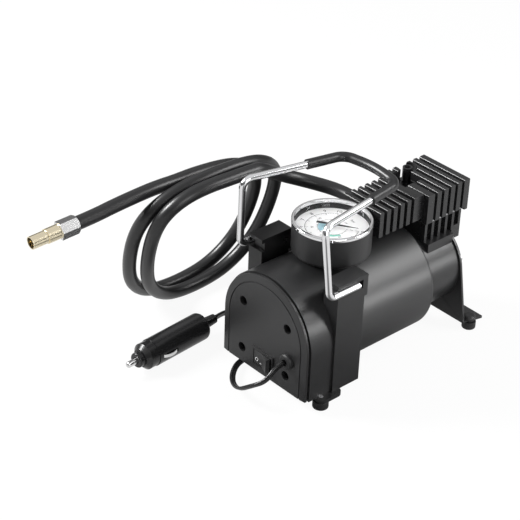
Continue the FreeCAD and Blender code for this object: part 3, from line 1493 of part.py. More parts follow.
def plug():
    """The plug lies on the floor and points forward; local Y runs from the sleeve to the pin."""
    sleeve_end = vec(-72.7, model_y(16.7), plug_height)
    direction = vec(-66.1, model_y(-68.6), plug_height).sub(sleeve_end).normalize()
    place = place_along(sleeve_end, direction)
    rear_y = -plug_sleeve_length
    body_y = rear_y - plug_length
    collar_y = body_y - plug_collar_length
    nose_y = collar_y - plug_nose_length
    plug_shell(place, rear_y, body_y)
    collar = rod_y(collar_y, body_y, 0, 0, plug_collar_radius)
    collar = collar.makeChamfer(plug_collar_chamfer, [edge for edge in collar.Edges if ring_at("y", collar_y)(edge)])
    nose = rod_y(nose_y, collar_y, 0, 0, plug_nose_radius)
    nose = round_edges(nose, plug_nose_edge, ring_at("y", nose_y))
    hollow_radius = plug_pin_radius + plug_pin_flange + run_gap
    cap = join(collar, nose).cut(rod_y(nose_y + plug_cap_wall, body_y + 1, 0, 0, hollow_radius))
    save("plug_cap", place(cap.cut(rod_y(nose_y - 1, nose_y + plug_cap_wall + 1, 0, 0, plug_pin_radius + run_gap))))
    flange_y = nose_y + plug_cap_wall + fit_gap
    tip_y = nose_y - plug_pin_reach
    flange_end = flange_y + plug_pin_flange_thickness
    pin = round_edges(rod_y(tip_y, flange_y, 0, 0, plug_pin_radius), plug_pin_tip_edge, ring_at("y", tip_y))
    pin_flange = rod_y(flange_y, flange_end, 0, 0, plug_pin_radius + plug_pin_flange)
    save("plug_centre_pin", place(join(pin, pin_flange)))
    fuse_y = flange_end + plug_pin_travel + 1.0
    fuse_end = fuse_y + fuse_length
    save("plug_fuse", place(join(rod_y(fuse_y, fuse_end, 0, 0, fuse_radius - fit_gap),
                                 rod_y(fuse_y, fuse_y + fuse_cap_length, 0, 0, fuse_radius),
                                 rod_y(fuse_end - fuse_cap_length, fuse_end, 0, 0, fuse_radius))))
    spring_y = fuse_end + plug_spring_wire + turn_gap
    spring_length = rear_y - plug_back_wall - plug_spring_wire - turn_gap - spring_y
    spring = coil_spring(spring_length, plug_spring_turns, plug_spring_radius, plug_spring_wire)
    spring.rotate(vec(0, 0, 0), X_AXIS, -90)
    spring.translate(vec(0, spring_y, 0))
    save("plug_spring", place(spring))
    return sleeve_end


def plug_shell(place, rear_y, body_y):
    """The plug's body with its bend sleeve and its two side contacts."""
    body = rod_y(body_y, rear_y, 0, 0, plug_radius)
    body = round_edges(body, plug_rear_edge, ring_at("y", rear_y))
    body = body.cut(rod_y(body_y - 1, rear_y - plug_back_wall, 0, 0, plug_bore))
    body = body.cut(rod_y(body_y - 1, rear_y + 1, 0, 0, plug_sleeve_neck + turn_gap))
    slot_y0 = body_y + plug_contact_place
    slot_y1 = slot_y0 + plug_contact_length
    half_slot = plug_contact_width / 2 + plug_contact_room
    slot = box(plug_bore - 1, plug_radius + 1, slot_y0 - plug_contact_room, slot_y1 + plug_contact_room,
               -half_slot, half_slot)
    for hole in both_sides(slot):
        body = body.cut(hole)
    save("plug_body", place(body))
    sleeve = Part.makeCone(plug_sleeve_radius, plug_sleeve_end_radius, plug_sleeve_length, vec(0, rear_y, 0), Y_AXIS)
    neck = rod_y(rear_y - plug_back_wall, rear_y, 0, 0, plug_sleeve_neck)
    save("plug_sleeve", place(join(sleeve, neck).cut(rod_y(rear_y - plug_back_wall - 1, 1, 0, 0,
                                                           cord_radius + turn_gap))))
    outer_x = plug_radius - plug_contact_sink
    inner_x = outer_x - plug_contact_thickness
    middle_y = (slot_y0 + slot_y1) / 2
    bulge = plug_contact_sink + plug_contact_stand
    near = vec(outer_x, slot_y0, 0)
    far = vec(outer_x, slot_y1, 0)
    near_inside = vec(inner_x, slot_y0, 0)
    far_inside = vec(inner_x, slot_y1, 0)
    edges = [Part.Arc(near, vec(outer_x + bulge, middle_y, 0), far).toShape(),
             Part.LineSegment(far, far_inside).toShape(),
             Part.Arc(far_inside, vec(inner_x + bulge, middle_y, 0), near_inside).toShape(),
             Part.LineSegment(near_inside, near).toShape()]
    strip = Part.Face(Part.Wire(edges)).extrude(vec(0, 0, plug_contact_width))
    strip.translate(vec(0, 0, -plug_contact_width / 2))
    save("plug_contact_left", place(mirror_x(strip)))
    save("plug_contact_right", place(strip))


def main():
    front_cover()
    cover_screws()
    switch()
    grommet()
    end_housing()
    handle()
    rubber_feet()
    foot_screws()
    motor_can()
    motor_magnets()
    armature()
    shaft_and_bearings()
    end_cap_and_brushes()
    can_screws()
    crankcase()
    rear_plate()
    crank()
    piston()
    cylinder_block()
    save("pump_screws", plate_screws() + block_screws())
    gaskets_and_valves()
    cylinder_head()
    head_bolts()
    gauge_case()
    gauge_movement()
    dial_and_pointer()
    bezel_and_lens()
    hose_end, hose_direction = hose()
    nozzle(hose_end, hose_direction)
    power_cord(plug())
    print("front face at", round(front_y, 2), "body length", round(body_length, 2))


main()
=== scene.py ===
# %% [markdown]
# A portable tyre inflator, dressed for a studio picture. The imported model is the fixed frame: it gives
# every solid piece its place and its motion. This lesson adds what the solids leave plain: rounded edges,
# cords, print and surface finish.

# %% Load the frame and keep its box
import math

import bmesh
import bpy
from mathutils import Matrix, Vector
from mathutils.bvhtree import BVHTree


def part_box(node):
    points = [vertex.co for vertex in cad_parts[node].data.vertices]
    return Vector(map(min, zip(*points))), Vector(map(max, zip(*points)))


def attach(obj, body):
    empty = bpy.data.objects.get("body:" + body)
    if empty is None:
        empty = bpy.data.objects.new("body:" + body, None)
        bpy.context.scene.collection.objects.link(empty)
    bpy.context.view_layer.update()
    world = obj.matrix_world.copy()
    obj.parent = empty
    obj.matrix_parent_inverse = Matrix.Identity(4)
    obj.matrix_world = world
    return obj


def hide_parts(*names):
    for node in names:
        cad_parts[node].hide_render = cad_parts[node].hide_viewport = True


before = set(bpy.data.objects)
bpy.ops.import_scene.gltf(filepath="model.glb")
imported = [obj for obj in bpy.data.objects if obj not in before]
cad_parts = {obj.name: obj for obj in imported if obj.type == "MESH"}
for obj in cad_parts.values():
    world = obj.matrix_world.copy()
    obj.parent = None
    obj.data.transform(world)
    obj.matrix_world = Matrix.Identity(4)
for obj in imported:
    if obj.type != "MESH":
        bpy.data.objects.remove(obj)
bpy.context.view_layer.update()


# %% [markdown]
# A maker's drawing is in millimetres and Blender works in metres, so two small helpers turn one into the
# other. The second one measures back from the front cover, because that is the face from which this body is
# easiest to measure.

# %% Places on the body
MM = 0.001
PANEL_RELIEF = 0.7
front_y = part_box("front_cover")[0].y / MM + PANEL_RELIEF


def mm(x, y, z):
    """A point in metres, from millimetres in the frame."""
    return Vector((x * MM, y * MM, z * MM))


def at(x, back, z):
    """A point in metres, where back is measured from the front of the cover."""
    return mm(x, front_y + back, z)


print("front of the cover at", round(front_y, 2), "mm")


# %% [markdown]
# In Blender a shape is data, and an object gives that data a name and a place in the scene. Every piece
# here is made that way. A piece of the model then rides on the body it moves with, and the solids that it
# stands in for are hidden.

# %% Objects and the model
def show(name, data):
    """Puts a mesh, a curve, a lamp or a camera into the scene under a name."""
    thing = bpy.data.objects.new(name, data)
    bpy.context.scene.collection.objects.link(thing)
    return thing


def join_model(piece, body, slot, *stands_for):
    """Makes a piece ride on a body and stand in for solids, which are hidden. The slot is not used."""
    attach(piece, body)
    if stands_for:
        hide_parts(*stands_for)


print("the frame has", len(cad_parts), "solids")


# %% [markdown]
# The camera stands where the photographer stood: to the right of the front cover and above it, with a long
# lens. A short lens close by would make the front look larger than the back. A long lens far away keeps the
# edges of the body almost parallel, as in a shop picture, so that is the one chosen.

# %% Camera
CAMERA_AZIMUTH = math.radians(47.25)
CAMERA_ELEVATION = math.radians(32.12)
CAMERA_ROLL = math.radians(2.16)
CAMERA_DISTANCE = 1120.5
CAMERA_LENS = 117.3
SENSOR_WIDTH = 36.0
camera_target = at(0.0, -7.27, 105.74)


def aim_camera():
    """Builds the camera from its angles, its distance and the point that it looks at."""
    back = Vector((math.sin(CAMERA_AZIMUTH) * math.cos(CAMERA_ELEVATION),
                   -math.cos(CAMERA_AZIMUTH) * math.cos(CAMERA_ELEVATION), math.sin(CAMERA_ELEVATION)))
    right = Vector((math.cos(CAMERA_AZIMUTH), math.sin(CAMERA_AZIMUTH), 0.0))
    up = back.cross(right)
    rolled_right = right * math.cos(CAMERA_ROLL) + up * math.sin(CAMERA_ROLL)
    rolled_up = up * math.cos(CAMERA_ROLL) - right * math.sin(CAMERA_ROLL)
    data = bpy.data.cameras.new("studio_camera")
    data.lens = CAMERA_LENS
    data.sensor_width = SENSOR_WIDTH
    studio_camera = show("studio_camera", data)
    turn = Matrix((rolled_right, rolled_up, back)).transposed().to_4x4()
    studio_camera.matrix_world = Matrix.Translation(camera_target + back * CAMERA_DISTANCE * MM) @ turn
    bpy.context.scene.camera = studio_camera
    return studio_camera


camera = aim_camera()
print("camera at", [round(v, 3) for v in camera.location])


# %% [markdown]
# A node material is a small graph. The first helper starts one and gives back its shader. The next two add
# a node and join two sockets, so that each finish below reads as a short recipe. They work on the world's
# graph too.

# %% Material helpers
def new_material(name, colour, roughness, metallic=0.0, shine=0.5):
    """A plain material and its shader."""
    material = bpy.data.materials.new(name)
    material.use_nodes = True
    shader = material.node_tree.nodes["Principled BSDF"]
    shader.inputs["Base Color"].default_value = (*colour, 1.0)
    shader.inputs["Roughness"].default_value = roughness
    shader.inputs["Metallic"].default_value = metallic
    shader.inputs["Specular IOR Level"].default_value = shine
    return material, shader


def add_node(owner, kind, **settings):
    """Adds a node to the graph of a material or a world."""
    node = owner.node_tree.nodes.new(kind)
    for key, value in settings.items():
        setattr(node, key, value)
    return node


def wire_up(owner, source, target):
    """Joins an output socket to an input socket."""
    owner.node_tree.links.new(source, target)


print("started with", len(bpy.data.materials), "materials from the frame")


# %% [markdown]
# No real surface is one even colour. Noise is what breaks it up, and it has to sit still on the piece when
# the piece moves, so it reads the piece's own Object coordinates. One noise can press small dents into the
# shading, vary the gloss, or blend two close colours. These three uses are all that the finishes below
# need.

# %% What noise can do
def object_noise(material, scale, detail=3.0):
    """A noise that sits still on the piece, with its scale in features per metre."""
    place = add_node(material, "ShaderNodeTexCoord")
    noise = add_node(material, "ShaderNodeTexNoise")
    noise.inputs["Scale"].default_value = scale
    noise.inputs["Detail"].default_value = detail
    noise.inputs["Roughness"].default_value = 0.6
    wire_up(material, place.outputs["Object"], noise.inputs["Vector"])
    return noise.outputs["Fac"]


def bump_from(material, shader, height, strength, distance):
    """Dents the shading by a height; distance is the depth in metres."""
    bump = add_node(material, "ShaderNodeBump")
    bump.inputs["Strength"].default_value = strength
    bump.inputs["Distance"].default_value = distance
    wire_up(material, height, bump.inputs["Height"])
    wire_up(material, bump.outputs["Normal"], shader.inputs["Normal"])


def spread(material, value, low, high, target):
    """Maps a 0 to 1 value onto low to high and feeds it to a socket."""
    remap = add_node(material, "ShaderNodeMapRange")
    remap.inputs["To Min"].default_value = low
    remap.inputs["To Max"].default_value = high
    wire_up(material, value, remap.inputs["Value"])
    wire_up(material, remap.outputs["Result"], target)


BLEND_START = 0.3
BLEND_END = 0.7


def colour_mix(material, value, first, second, target):
    """Blends two colours by a 0 to 1 value and feeds the result to a socket."""
    ramp = add_node(material, "ShaderNodeValToRGB")
    for stop, colour, position in zip(ramp.color_ramp.elements, (first, second), (BLEND_START, BLEND_END)):
        stop.color = (*colour, 1.0)
        stop.position = position
    wire_up(material, value, ramp.inputs["Fac"])
    wire_up(material, ramp.outputs["Color"], target)


print("noise gives dents, uneven gloss and uneven colour")


# %% [markdown]
# The cover, the housing and the pillars are one moulded black plastic with a very fine spark texture. An
# image of such a texture would need seams. A noise bump about a quarter of a millimetre wide needs none,
# and it scatters the light a little, so the plastic reads as dark grey.

# %% Moulded plastic
PLASTIC_SHINE = 0.38
PLASTIC_LIGHTER = 1.12


def moulded_plastic(name, colour, roughness, grain=4200.0, depth=0.00004):
    """Plastic with a fine grain and faintly lighter patches."""
    material, shader = new_material(name, colour, roughness, shine=PLASTIC_SHINE)
    bump_from(material, shader, object_noise(material, grain, detail=2.0), strength=0.35, distance=depth)
    lighter = tuple(c * PLASTIC_LIGHTER for c in colour)
    patches = object_noise(material, scale=60.0, detail=2.0)
    colour_mix(material, patches, colour, lighter, shader.inputs["Base Color"])
    return material


housing_plastic = moulded_plastic("housing_plastic", (0.0125, 0.0125, 0.013), roughness=0.36)
switch_plastic = moulded_plastic("switch_plastic", (0.009, 0.009, 0.0095), roughness=0.36, grain=3000.0)
rocker_plastic = moulded_plastic("rocker_plastic", (0.014, 0.014, 0.0145), roughness=0.33, grain=3000.0)
plug_plastic = moulded_plastic("plug_plastic", (0.010, 0.010, 0.0105), roughness=0.24, grain=1500.0,
                               depth=0.00002)
gauge_plastic = moulded_plastic("gauge_plastic", (0.014, 0.014, 0.0145), roughness=0.42)
print("moulded:", housing_plastic.name, switch_plastic.name, rocker_plastic.name, plug_plastic.name,
      gauge_plastic.name)


# %% [markdown]
# The motor can and the rear plate are steel with a satin black coat. Such paint has a slight orange peel:
# waves of about a millimetre that are only microns high, seen in the reflections alone. The pump is cast
# and then coated, so it keeps the pits of the casting, and its gloss changes from place to place.

# %% Painted and cast metal
METAL_COAT_SHINE = 0.42


def painted_steel(name, colour, roughness):
    """Satin paint with an orange peel under a thin clear coat."""
    material, shader = new_material(name, colour, roughness, shine=METAL_COAT_SHINE)
    peel = object_noise(material, scale=900.0, detail=2.0)
    bump_from(material, shader, peel, strength=0.12, distance=0.00004)
    shader.inputs["Coat Weight"].default_value = 0.15
    shader.inputs["Coat Roughness"].default_value = 0.3
    return material


def coated_casting(name, colour, roughness):
    """A coated casting with fine pits and an uneven gloss."""
    material, shader = new_material(name, colour, roughness, shine=METAL_COAT_SHINE)
    pits = object_noise(material, scale=2600.0, detail=4.0)
    bump_from(material, shader, pits, strength=0.3, distance=0.00006)
    spread(material, object_noise(material, scale=150.0), roughness - 0.06, roughness + 0.08,
           shader.inputs["Roughness"])
    return material


can_paint = painted_steel("can_paint", (0.016, 0.016, 0.0165), roughness=0.42)
plate_paint = painted_steel("plate_paint", (0.012, 0.012, 0.0125), roughness=0.42)
casting_black = coated_casting("casting_black", (0.011, 0.011, 0.0115), roughness=0.27)
crankcase_black = coated_casting("crankcase_black", (0.014, 0.014, 0.0145), roughness=0.34)
print("coated:", can_paint.name, plate_paint.name, casting_black.name, crankcase_black.name)


# %% [markdown]
# Bare metals take nearly all of their look from what they mirror. A perfect mirror looks like nothing real,
# so fine drawing marks in the roughness break the reflections of the chrome wire and the brass.

# %% Bare metals
SMOOTHEST = 0.02
MARK_VARIATION = 0.05


def bare_metal(name, colour, roughness):
    """Uncoated metal with fine marks that vary its roughness."""
    material, shader = new_material(name, colour, roughness, metallic=1.0)
    marks = object_noise(material, scale=500.0, detail=4.0)
    smoother = max(SMOOTHEST, roughness - MARK_VARIATION)
    spread(material, marks, smoother, roughness + MARK_VARIATION, shader.inputs["Roughness"])
    return material


chrome_wire = bare_metal("chrome_wire", (0.80, 0.80, 0.81), roughness=0.10)
bezel_chrome = bare_metal("bezel_chrome", (0.78, 0.78, 0.79), roughness=0.08)
plated_steel = bare_metal("plated_steel", (0.74, 0.74, 0.74), roughness=0.16)
zinc_steel = bare_metal("zinc_steel", (0.50, 0.50, 0.51), roughness=0.34)
contact_metal = bare_metal("contact_metal", (0.72, 0.72, 0.72), roughness=0.18)
core_steel = bare_metal("core_steel", (0.42, 0.42, 0.43), roughness=0.38)
cast_aluminium = bare_metal("cast_aluminium", (0.62, 0.62, 0.63), roughness=0.45)
brass = bare_metal("brass", (0.84, 0.75, 0.55), roughness=0.22)
copper = bare_metal("copper", (0.80, 0.42, 0.26), roughness=0.25)
print("bare metals made, the smoothest is", bezel_chrome.name)


# %% [markdown]
# The hose, the feet, the grip and the cord's jacket are rubber or soft vinyl. Rubber is dark but never
# black, and dust in its surface makes it uneven. What tells it from plastic is the soft broad highlight
# along each strand, which the roughness alone sets.

# %% Rubbers
RUBBER_SHINE = 0.40
RUBBER_DUST = 1.25


def rubber(name, colour, roughness):
    """Rubber or vinyl with a fine grain and a trace of dust."""
    material, shader = new_material(name, colour, roughness, shine=RUBBER_SHINE)
    bump_from(material, shader, object_noise(material, scale=1800.0), strength=0.25, distance=0.00003)
    dusty = tuple(c * RUBBER_DUST for c in colour)
    colour_mix(material, object_noise(material, scale=45.0), colour, dusty, shader.inputs["Base Color"])
    return material


hose_rubber = rubber("hose_rubber", (0.011, 0.011, 0.0115), roughness=0.34)
soft_rubber = rubber("soft_rubber", (0.010, 0.010, 0.0105), roughness=0.50)
grip_rubber = rubber("grip_rubber", (0.010, 0.010, 0.0105), roughness=0.34)
cord_jacket = rubber("cord_jacket", (0.010, 0.010, 0.0105), roughness=0.24)
print("rubbers:", hose_rubber.name, soft_rubber.name, grip_rubber.name, cord_jacket.name)


# %% [markdown]
# The hose and the cord come first, because their room decides where everything else may stand. Each is one
# smooth spline whose control points are the route in the solid model. A curve with a round bevel is the
# simplest tube, and it stays easy to edit. The same curve without a bevel gives the points of its centre
# line, and so its real length.

# %% Splines for the cords
def route_curve(name, points, radius=0.0):
    """A NURBS curve through a list of control points, as a tube if it has a radius."""
    data = bpy.data.curves.new(name, "CURVE")
    data.dimensions = "3D"
    data.resolution_u = 6
    data.bevel_depth = radius
    data.bevel_resolution = 7
    data.use_fill_caps = True
    spline = data.splines.new("NURBS")
    spline.points.add(len(points) - 1)
    for point, place in zip(spline.points, points):
        point.co = (*place, 1.0)
    spline.order_u = 3
    spline.use_endpoint_u = True
    return show(name, data)


def centre_line(name, points):
    """The points of a route's smooth centre line, and its length."""
    curve = route_curve(name, points)
    bpy.context.view_layer.update()
    graph = bpy.context.evaluated_depsgraph_get()
    mesh = bpy.data.meshes.new_from_object(curve.evaluated_get(graph), depsgraph=graph)
    line = [v.co.copy() for v in mesh.vertices]
    bpy.data.meshes.remove(mesh)
    bpy.data.objects.remove(curve)
    return line, sum((b - a).length for a, b in zip(line, line[1:]))


print("a route is one spline of order 3")


# %% [markdown]
# The air hose is stiff rubber, about a metre long. It leaves the nut on the head, climbs to the top of two
# standing turns that lean against nothing but their own stiffness, and ends in a long free stretch that
# points forward with the nozzle. The turns follow a rule, so they are worked out: a squared circle that
# leans over, shrinks and drifts forward.

# %% The standing turns of the hose
HOSE_RADIUS = 5.0
HOSE_LOWEST = 5.15
HOSE_TURNS = 2
HOSE_TURN_POINTS = 20
HOSE_STEP = 12.2
HOSE_DRIFT = 6.02
HOSE_COIL_X = -68.2
HOSE_COIL_BACK = 37.31
HOSE_HALF_HEIGHT = 68.2
HOSE_HALF_DEPTH = 62.97
HOSE_SHRINK = 0.07
HOSE_DEPTH_SHRINK = 0.01
HOSE_FRONT_BULGE = 0.16
HOSE_SQUARENESS = 2 / 2.59
HOSE_LEAN = 0.36
HOSE_SKEW = 0.1
HOSE_TWIST = 0.01
HOSE_SINK = 7.0
HOSE_LIFT = 3.6
HOSE_EASE = 0.4 * math.pi


def squared(wave):
    """A sine or cosine, flattened towards a square wave."""
    return math.copysign(abs(wave) ** HOSE_SQUARENESS, wave)


def hose_turn(t):
    """The centre of the standing hose, where t is the angle wound so far."""
    turns = t / (2 * math.pi)
    half_height = HOSE_HALF_HEIGHT * (1 - HOSE_SHRINK * turns)
    half_depth = HOSE_HALF_DEPTH * (1 - HOSE_DEPTH_SHRINK * turns) * (1 + HOSE_FRONT_BULGE * math.cos(t))
    rise = half_height * (1 + squared(math.cos(t)))
    across = -half_depth * squared(math.sin(t)) - HOSE_SKEW * (rise - half_height)
    lean_out = (2 * HOSE_HALF_HEIGHT - rise) * math.sin(HOSE_LEAN)
    x = HOSE_COIL_X - HOSE_STEP * turns - lean_out - HOSE_TWIST * across
    height = HOSE_LOWEST + rise * math.cos(HOSE_LEAN)
    height -= HOSE_SINK * max(0.0, 1 - t / HOSE_EASE) ** 2
    height += HOSE_LIFT * max(0.0, 1 - (2 * HOSE_TURNS * math.pi - t) / HOSE_EASE) ** 2
    return at(x, HOSE_COIL_BACK - HOSE_DRIFT * turns + across, height)


print("the first turn starts", round(hose_turn(0).z / MM), "mm above the floor")

# %% The whole hose
NUT_STRAIGHT = 12
nut_low, nut_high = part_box("hose_nut")
hose_exit = Vector((nut_low.x, (nut_low.y + nut_high.y) / 2, (nut_low.z + nut_high.z) / 2))
hose_points = [hose_exit, hose_exit + mm(-NUT_STRAIGHT, 0, 0), at(-49.2, 106.4, 98.0),
               at(-59.2, 99.8, 99.7), at(-66.5, 91.0, 102.9), at(-70.6, 80.9, 107.4),
               at(-71.3, 70.3, 113.4), at(-68.0, 52.5, 124.6), at(-68.1, 40.5, 125.3)]
for step in range(0, HOSE_TURNS * HOSE_TURN_POINTS + 1):
    hose_points.append(hose_turn(2 * math.pi * step / HOSE_TURN_POINTS))
hose_points += [at(-99.3, 1.4, 118.5), at(-98.6, -14.0, 119.9), at(-99.0, -28.7, 119.5),
                at(-100.0, -52.5, 117.4), at(-100.8, -67.2, 115.2), at(-101.5, -82.5, 114.2)]

_, hose_length = centre_line("hose_route", hose_points)
air_hose = route_curve("air_hose", hose_points, HOSE_RADIUS * MM)
air_hose.data.materials.append(hose_rubber)
print("hose length", round(hose_length, 3), "m")


# %% [markdown]
# The power cord is a flat twin cable: two round wires side by side in one jacket. It leaves the grommet,
# bends down to the floor and runs under the body. What the picture doesn't show is put away behind the body
# as a neat coil in four layers. Its turns follow a rule too: three turns in, half a turn to climb a layer,
# three turns out again.

# %% The put-away coil of the cord
CORD_WIDTH = 4.4
CORD_HEIGHT = 2.4
CORD_LOW = 2.35
COIL_X = -88.0
COIL_BACK = 112.0
COIL_INNER = 15.5
COIL_PITCH = 5.6
COIL_TURNS = 3
COIL_CLIMB = 0.5
COIL_LAYERS = 4
COIL_LAST_SHORT = 0.25
COIL_TURN_POINTS = 16
ROUNDING = 1e-9


def cord_turn(t):
    """The centre of the put-away coil of cord; t counts turns."""
    layer_turns = COIL_TURNS + COIL_CLIMB
    layer = min(int(t / layer_turns + ROUNDING), COIL_LAYERS - 1)
    along = t - layer * layer_turns
    last = layer == COIL_LAYERS - 1
    wound = (along if last else min(along, COIL_TURNS)) * COIL_PITCH
    radius = COIL_INNER + COIL_TURNS * COIL_PITCH - wound if layer % 2 == 0 else COIL_INNER + wound
    climb = max(0.0, along - COIL_TURNS) / COIL_CLIMB
    smooth = climb * climb * (3 - 2 * climb)
    height = CORD_LOW + COIL_PITCH * (layer + (0.0 if last else smooth))
    angle = -2 * math.pi * t - math.pi / 2
    return at(COIL_X + radius * math.cos(angle), COIL_BACK + radius * math.sin(angle), height)


cord_turns = COIL_LAYERS * (COIL_TURNS + COIL_CLIMB) - COIL_LAST_SHORT
print("the coil has", cord_turns, "turns")

# %% The cord's route
grommet_low, grommet_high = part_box("cord_grommet")
cord_exit = Vector(((grommet_low.x + grommet_high.x) / 2, grommet_low.y,
                    (grommet_low.z + grommet_high.z) / 2))
sleeve_end = at(-72.7, 16.7, 10.45)
cord_points = [cord_exit, at(24.1, -11.5, 33.6), at(23.7, -19.9, 25.2), at(14.0, -25.2, 18.4),
               at(3.4, -25.5, 10.0), at(-8.8, -20.3, 5.5), at(-19.1, -11.9, 4.1), at(-26.8, -1.1, 3.4),
               at(-29.5, 9.5, CORD_LOW), at(-32.0, 24.0, CORD_LOW), at(-37.0, 40.0, CORD_LOW),
               at(-45.0, 56.0, CORD_LOW), at(-54.0, 68.5, CORD_LOW), at(-68.0, 78.0, CORD_LOW),
               at(-78.0, 79.4, CORD_LOW)]
for step in range(0, round(cord_turns * COIL_TURN_POINTS) + 1):
    cord_points.append(cord_turn(step / COIL_TURN_POINTS))
cord_points += [at(-53.9, 98.0, 18.0), at(-56.5, 81.0, 14.0), at(-61.5, 68.0, 9.5), at(-68.5, 57.0, 5.0),
                at(-76.0, 47.5, CORD_LOW), at(-79.5, 37.0, 4.0), at(-76.6, 27.5, 8.2), sleeve_end]
cord_line, cord_length = centre_line("cord_route", cord_points)
print("cord length", round(cord_length, 3), "m")


# %% [markdown]
# The section of a twin cable is a figure of eight, which a round bevel can't give. So a ring of points with
# that outline is set on each point of the centre line and the rings are joined. The flat side turns as
# little as it can from one ring to the next, which is what a real flat cable does.

# %% The jacket of the cord
LOBE_POINTS = 8
LOBE_SWEEP = math.radians(250)


def twin_section():
    """The outline of the flat twin cable, as offsets across its width and its height."""
    lobe = CORD_HEIGHT / 2
    centre = CORD_WIDTH / 2 - lobe
    outline = []
    for side in (1, -1):
        for index in range(LOBE_POINTS):
            angle = (index / (LOBE_POINTS - 1) - 0.5) * LOBE_SWEEP + (0 if side > 0 else math.pi)
            outline.append((side * centre + lobe * math.cos(angle), lobe * math.sin(angle)))
    return outline


def section_rings(mesh, line, outline, flat):
    """One ring of points for each point of a line; flat is the direction across the cable at its start."""
    rings = []
    across = flat
    for index, place in enumerate(line):
        before = line[max(index - 1, 0)]
        after = line[min(index + 1, len(line) - 1)]
        ahead = (after - before).normalized()
        across = (across - ahead * across.dot(ahead)).normalized()
        over = ahead.cross(across)
        rings.append([mesh.verts.new(place + (across * u + over * v) * MM) for u, v in outline])
    return rings


def sweep_section(name, line, outline, flat):
    """Sweeps an outline along a line as a closed mesh."""
    mesh = bmesh.new()
    rings = section_rings(mesh, line, outline, flat)
    for a, b in zip(rings, rings[1:]):
        for i in range(len(outline)):
            j = (i + 1) % len(outline)
            mesh.faces.new((a[i], a[j], b[j], b[i]))
    mesh.faces.new(rings[0][::-1])
    mesh.faces.new(rings[-1])
    bmesh.ops.recalc_face_normals(mesh, faces=mesh.faces)
    for face in mesh.faces:
        face.smooth = True
    data = bpy.data.meshes.new(name)
    mesh.to_mesh(data)
    mesh.free()
    return show(name, data)


UPRIGHT = Vector((0.0, 0.0, 1.0))
power_cord = sweep_section("power_cord", cord_line, twin_section(), UPRIGHT)
power_cord.data.materials.append(cord_jacket)
print("the jacket has", len(power_cord.data.polygons), "faces")


# %% [markdown]
# Each cord rides on the frame and stands in for the solids of its route, which are hidden.

join_model(air_hose, "frame", "hose_rubber", "hose_lead", "hose_coil", "hose_end")
join_model(power_cord, "frame", "cord_jacket", "cord_lead", "cord_coil", "cord_tail")


# %% [markdown]
# The solids have knife-sharp edges. A moulding or a casting never has: each edge catches a thin line of
# light, and without that line a black object is only a black shape. The edges could be rounded in the
# solids, but that makes them heavy. Here a copy of the solid is merged, its flat faces are joined, and a
# Bevel modifier rounds what is left.

# %% Copies of the solids
MERGE_DISTANCE = 0.000005
FLAT_ANGLE = 0.6


def joined_copy(node, name, flat_angle):
    """A merged copy of a solid's mesh, with each flat area as one face if it has a flat angle."""
    mesh = bmesh.new()
    mesh.from_mesh(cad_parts[node].data)
    bmesh.ops.remove_doubles(mesh, verts=mesh.verts, dist=MERGE_DISTANCE)
    if flat_angle > 0:
        limit = math.radians(flat_angle)
        bmesh.ops.dissolve_limit(mesh, angle_limit=limit, verts=mesh.verts, edges=mesh.edges)
    data = bpy.data.meshes.new(name)
    mesh.to_mesh(data)
    mesh.free()
    return show(name, data)


def plain_mesh(piece):
    """Applies the piece's modifiers."""
    bpy.context.view_layer.update()
    graph = bpy.context.evaluated_depsgraph_get()
    mesh = bpy.data.meshes.new_from_object(piece.evaluated_get(graph), depsgraph=graph)
    piece.modifiers.clear()
    old = piece.data
    piece.data = mesh
    bpy.data.meshes.remove(old)


print("copies are merged within", MERGE_DISTANCE / MM, "mm")


# %% [markdown]
# Shading comes last. Faces are shaded smooth, except across sharp edges. Weighting the normals by face area
# keeps a large flat face flat right up to its rounded edge, so that the light line stays as thin as on the
# real moulding.

# %% Rounded edges and even shading
BEVEL_SEGMENTS = 2
BEVEL_ANGLE = math.radians(28.0)
SHARP_ANGLE = math.radians(35.0)
AREA_WEIGHT = 90


def round_edges(piece, width):
    """Rounds the sharp edges of a piece."""
    bevel = piece.modifiers.new("edges", "BEVEL")
    bevel.width = width * MM
    bevel.segments = BEVEL_SEGMENTS
    bevel.limit_method = "ANGLE"
    bevel.angle_limit = BEVEL_ANGLE
    bevel.use_clamp_overlap = True
    plain_mesh(piece)


def smooth_by_angle(piece):
    """Shades smooth, except across sharp edges."""
    mesh = bmesh.new()
    mesh.from_mesh(piece.data)
    for face in mesh.faces:
        face.smooth = True
    for edge in mesh.edges:
        if len(edge.link_faces) == 2:
            edge.smooth = edge.calc_face_angle(0.0) < SHARP_ANGLE
    mesh.to_mesh(piece.data)
    mesh.free()


def even_normals(piece):
    """Weights the shading by face area."""
    weighted = piece.modifiers.new("normals", "WEIGHTED_NORMAL")
    weighted.keep_sharp = True
    weighted.weight = AREA_WEIGHT
    plain_mesh(piece)


def give(piece, material):
    """Makes a material the only one of a piece."""
    piece.data.materials.clear()
    piece.data.materials.append(material)


def dress(node, material, slot, width, body="frame", flat_angle=FLAT_ANGLE):
    """Stands a rounded copy in for one solid; width is that of its rounded edges in millimetres."""
    piece = joined_copy(node, node + "_finished", flat_angle)
    round_edges(piece, width)
    smooth_by_angle(piece)
    even_normals(piece)
    give(piece, material)
    join_model(piece, body, slot, node)
    print(piece.name, len(piece.data.polygons), "faces")


# %% [markdown]
# A moulded cover has softer edges than a steel plate or a small rocker, so each piece gets its own width.
# The rear plate keeps its triangles: its flat sides are full of holes, and joining them into one face would
# cut across these.

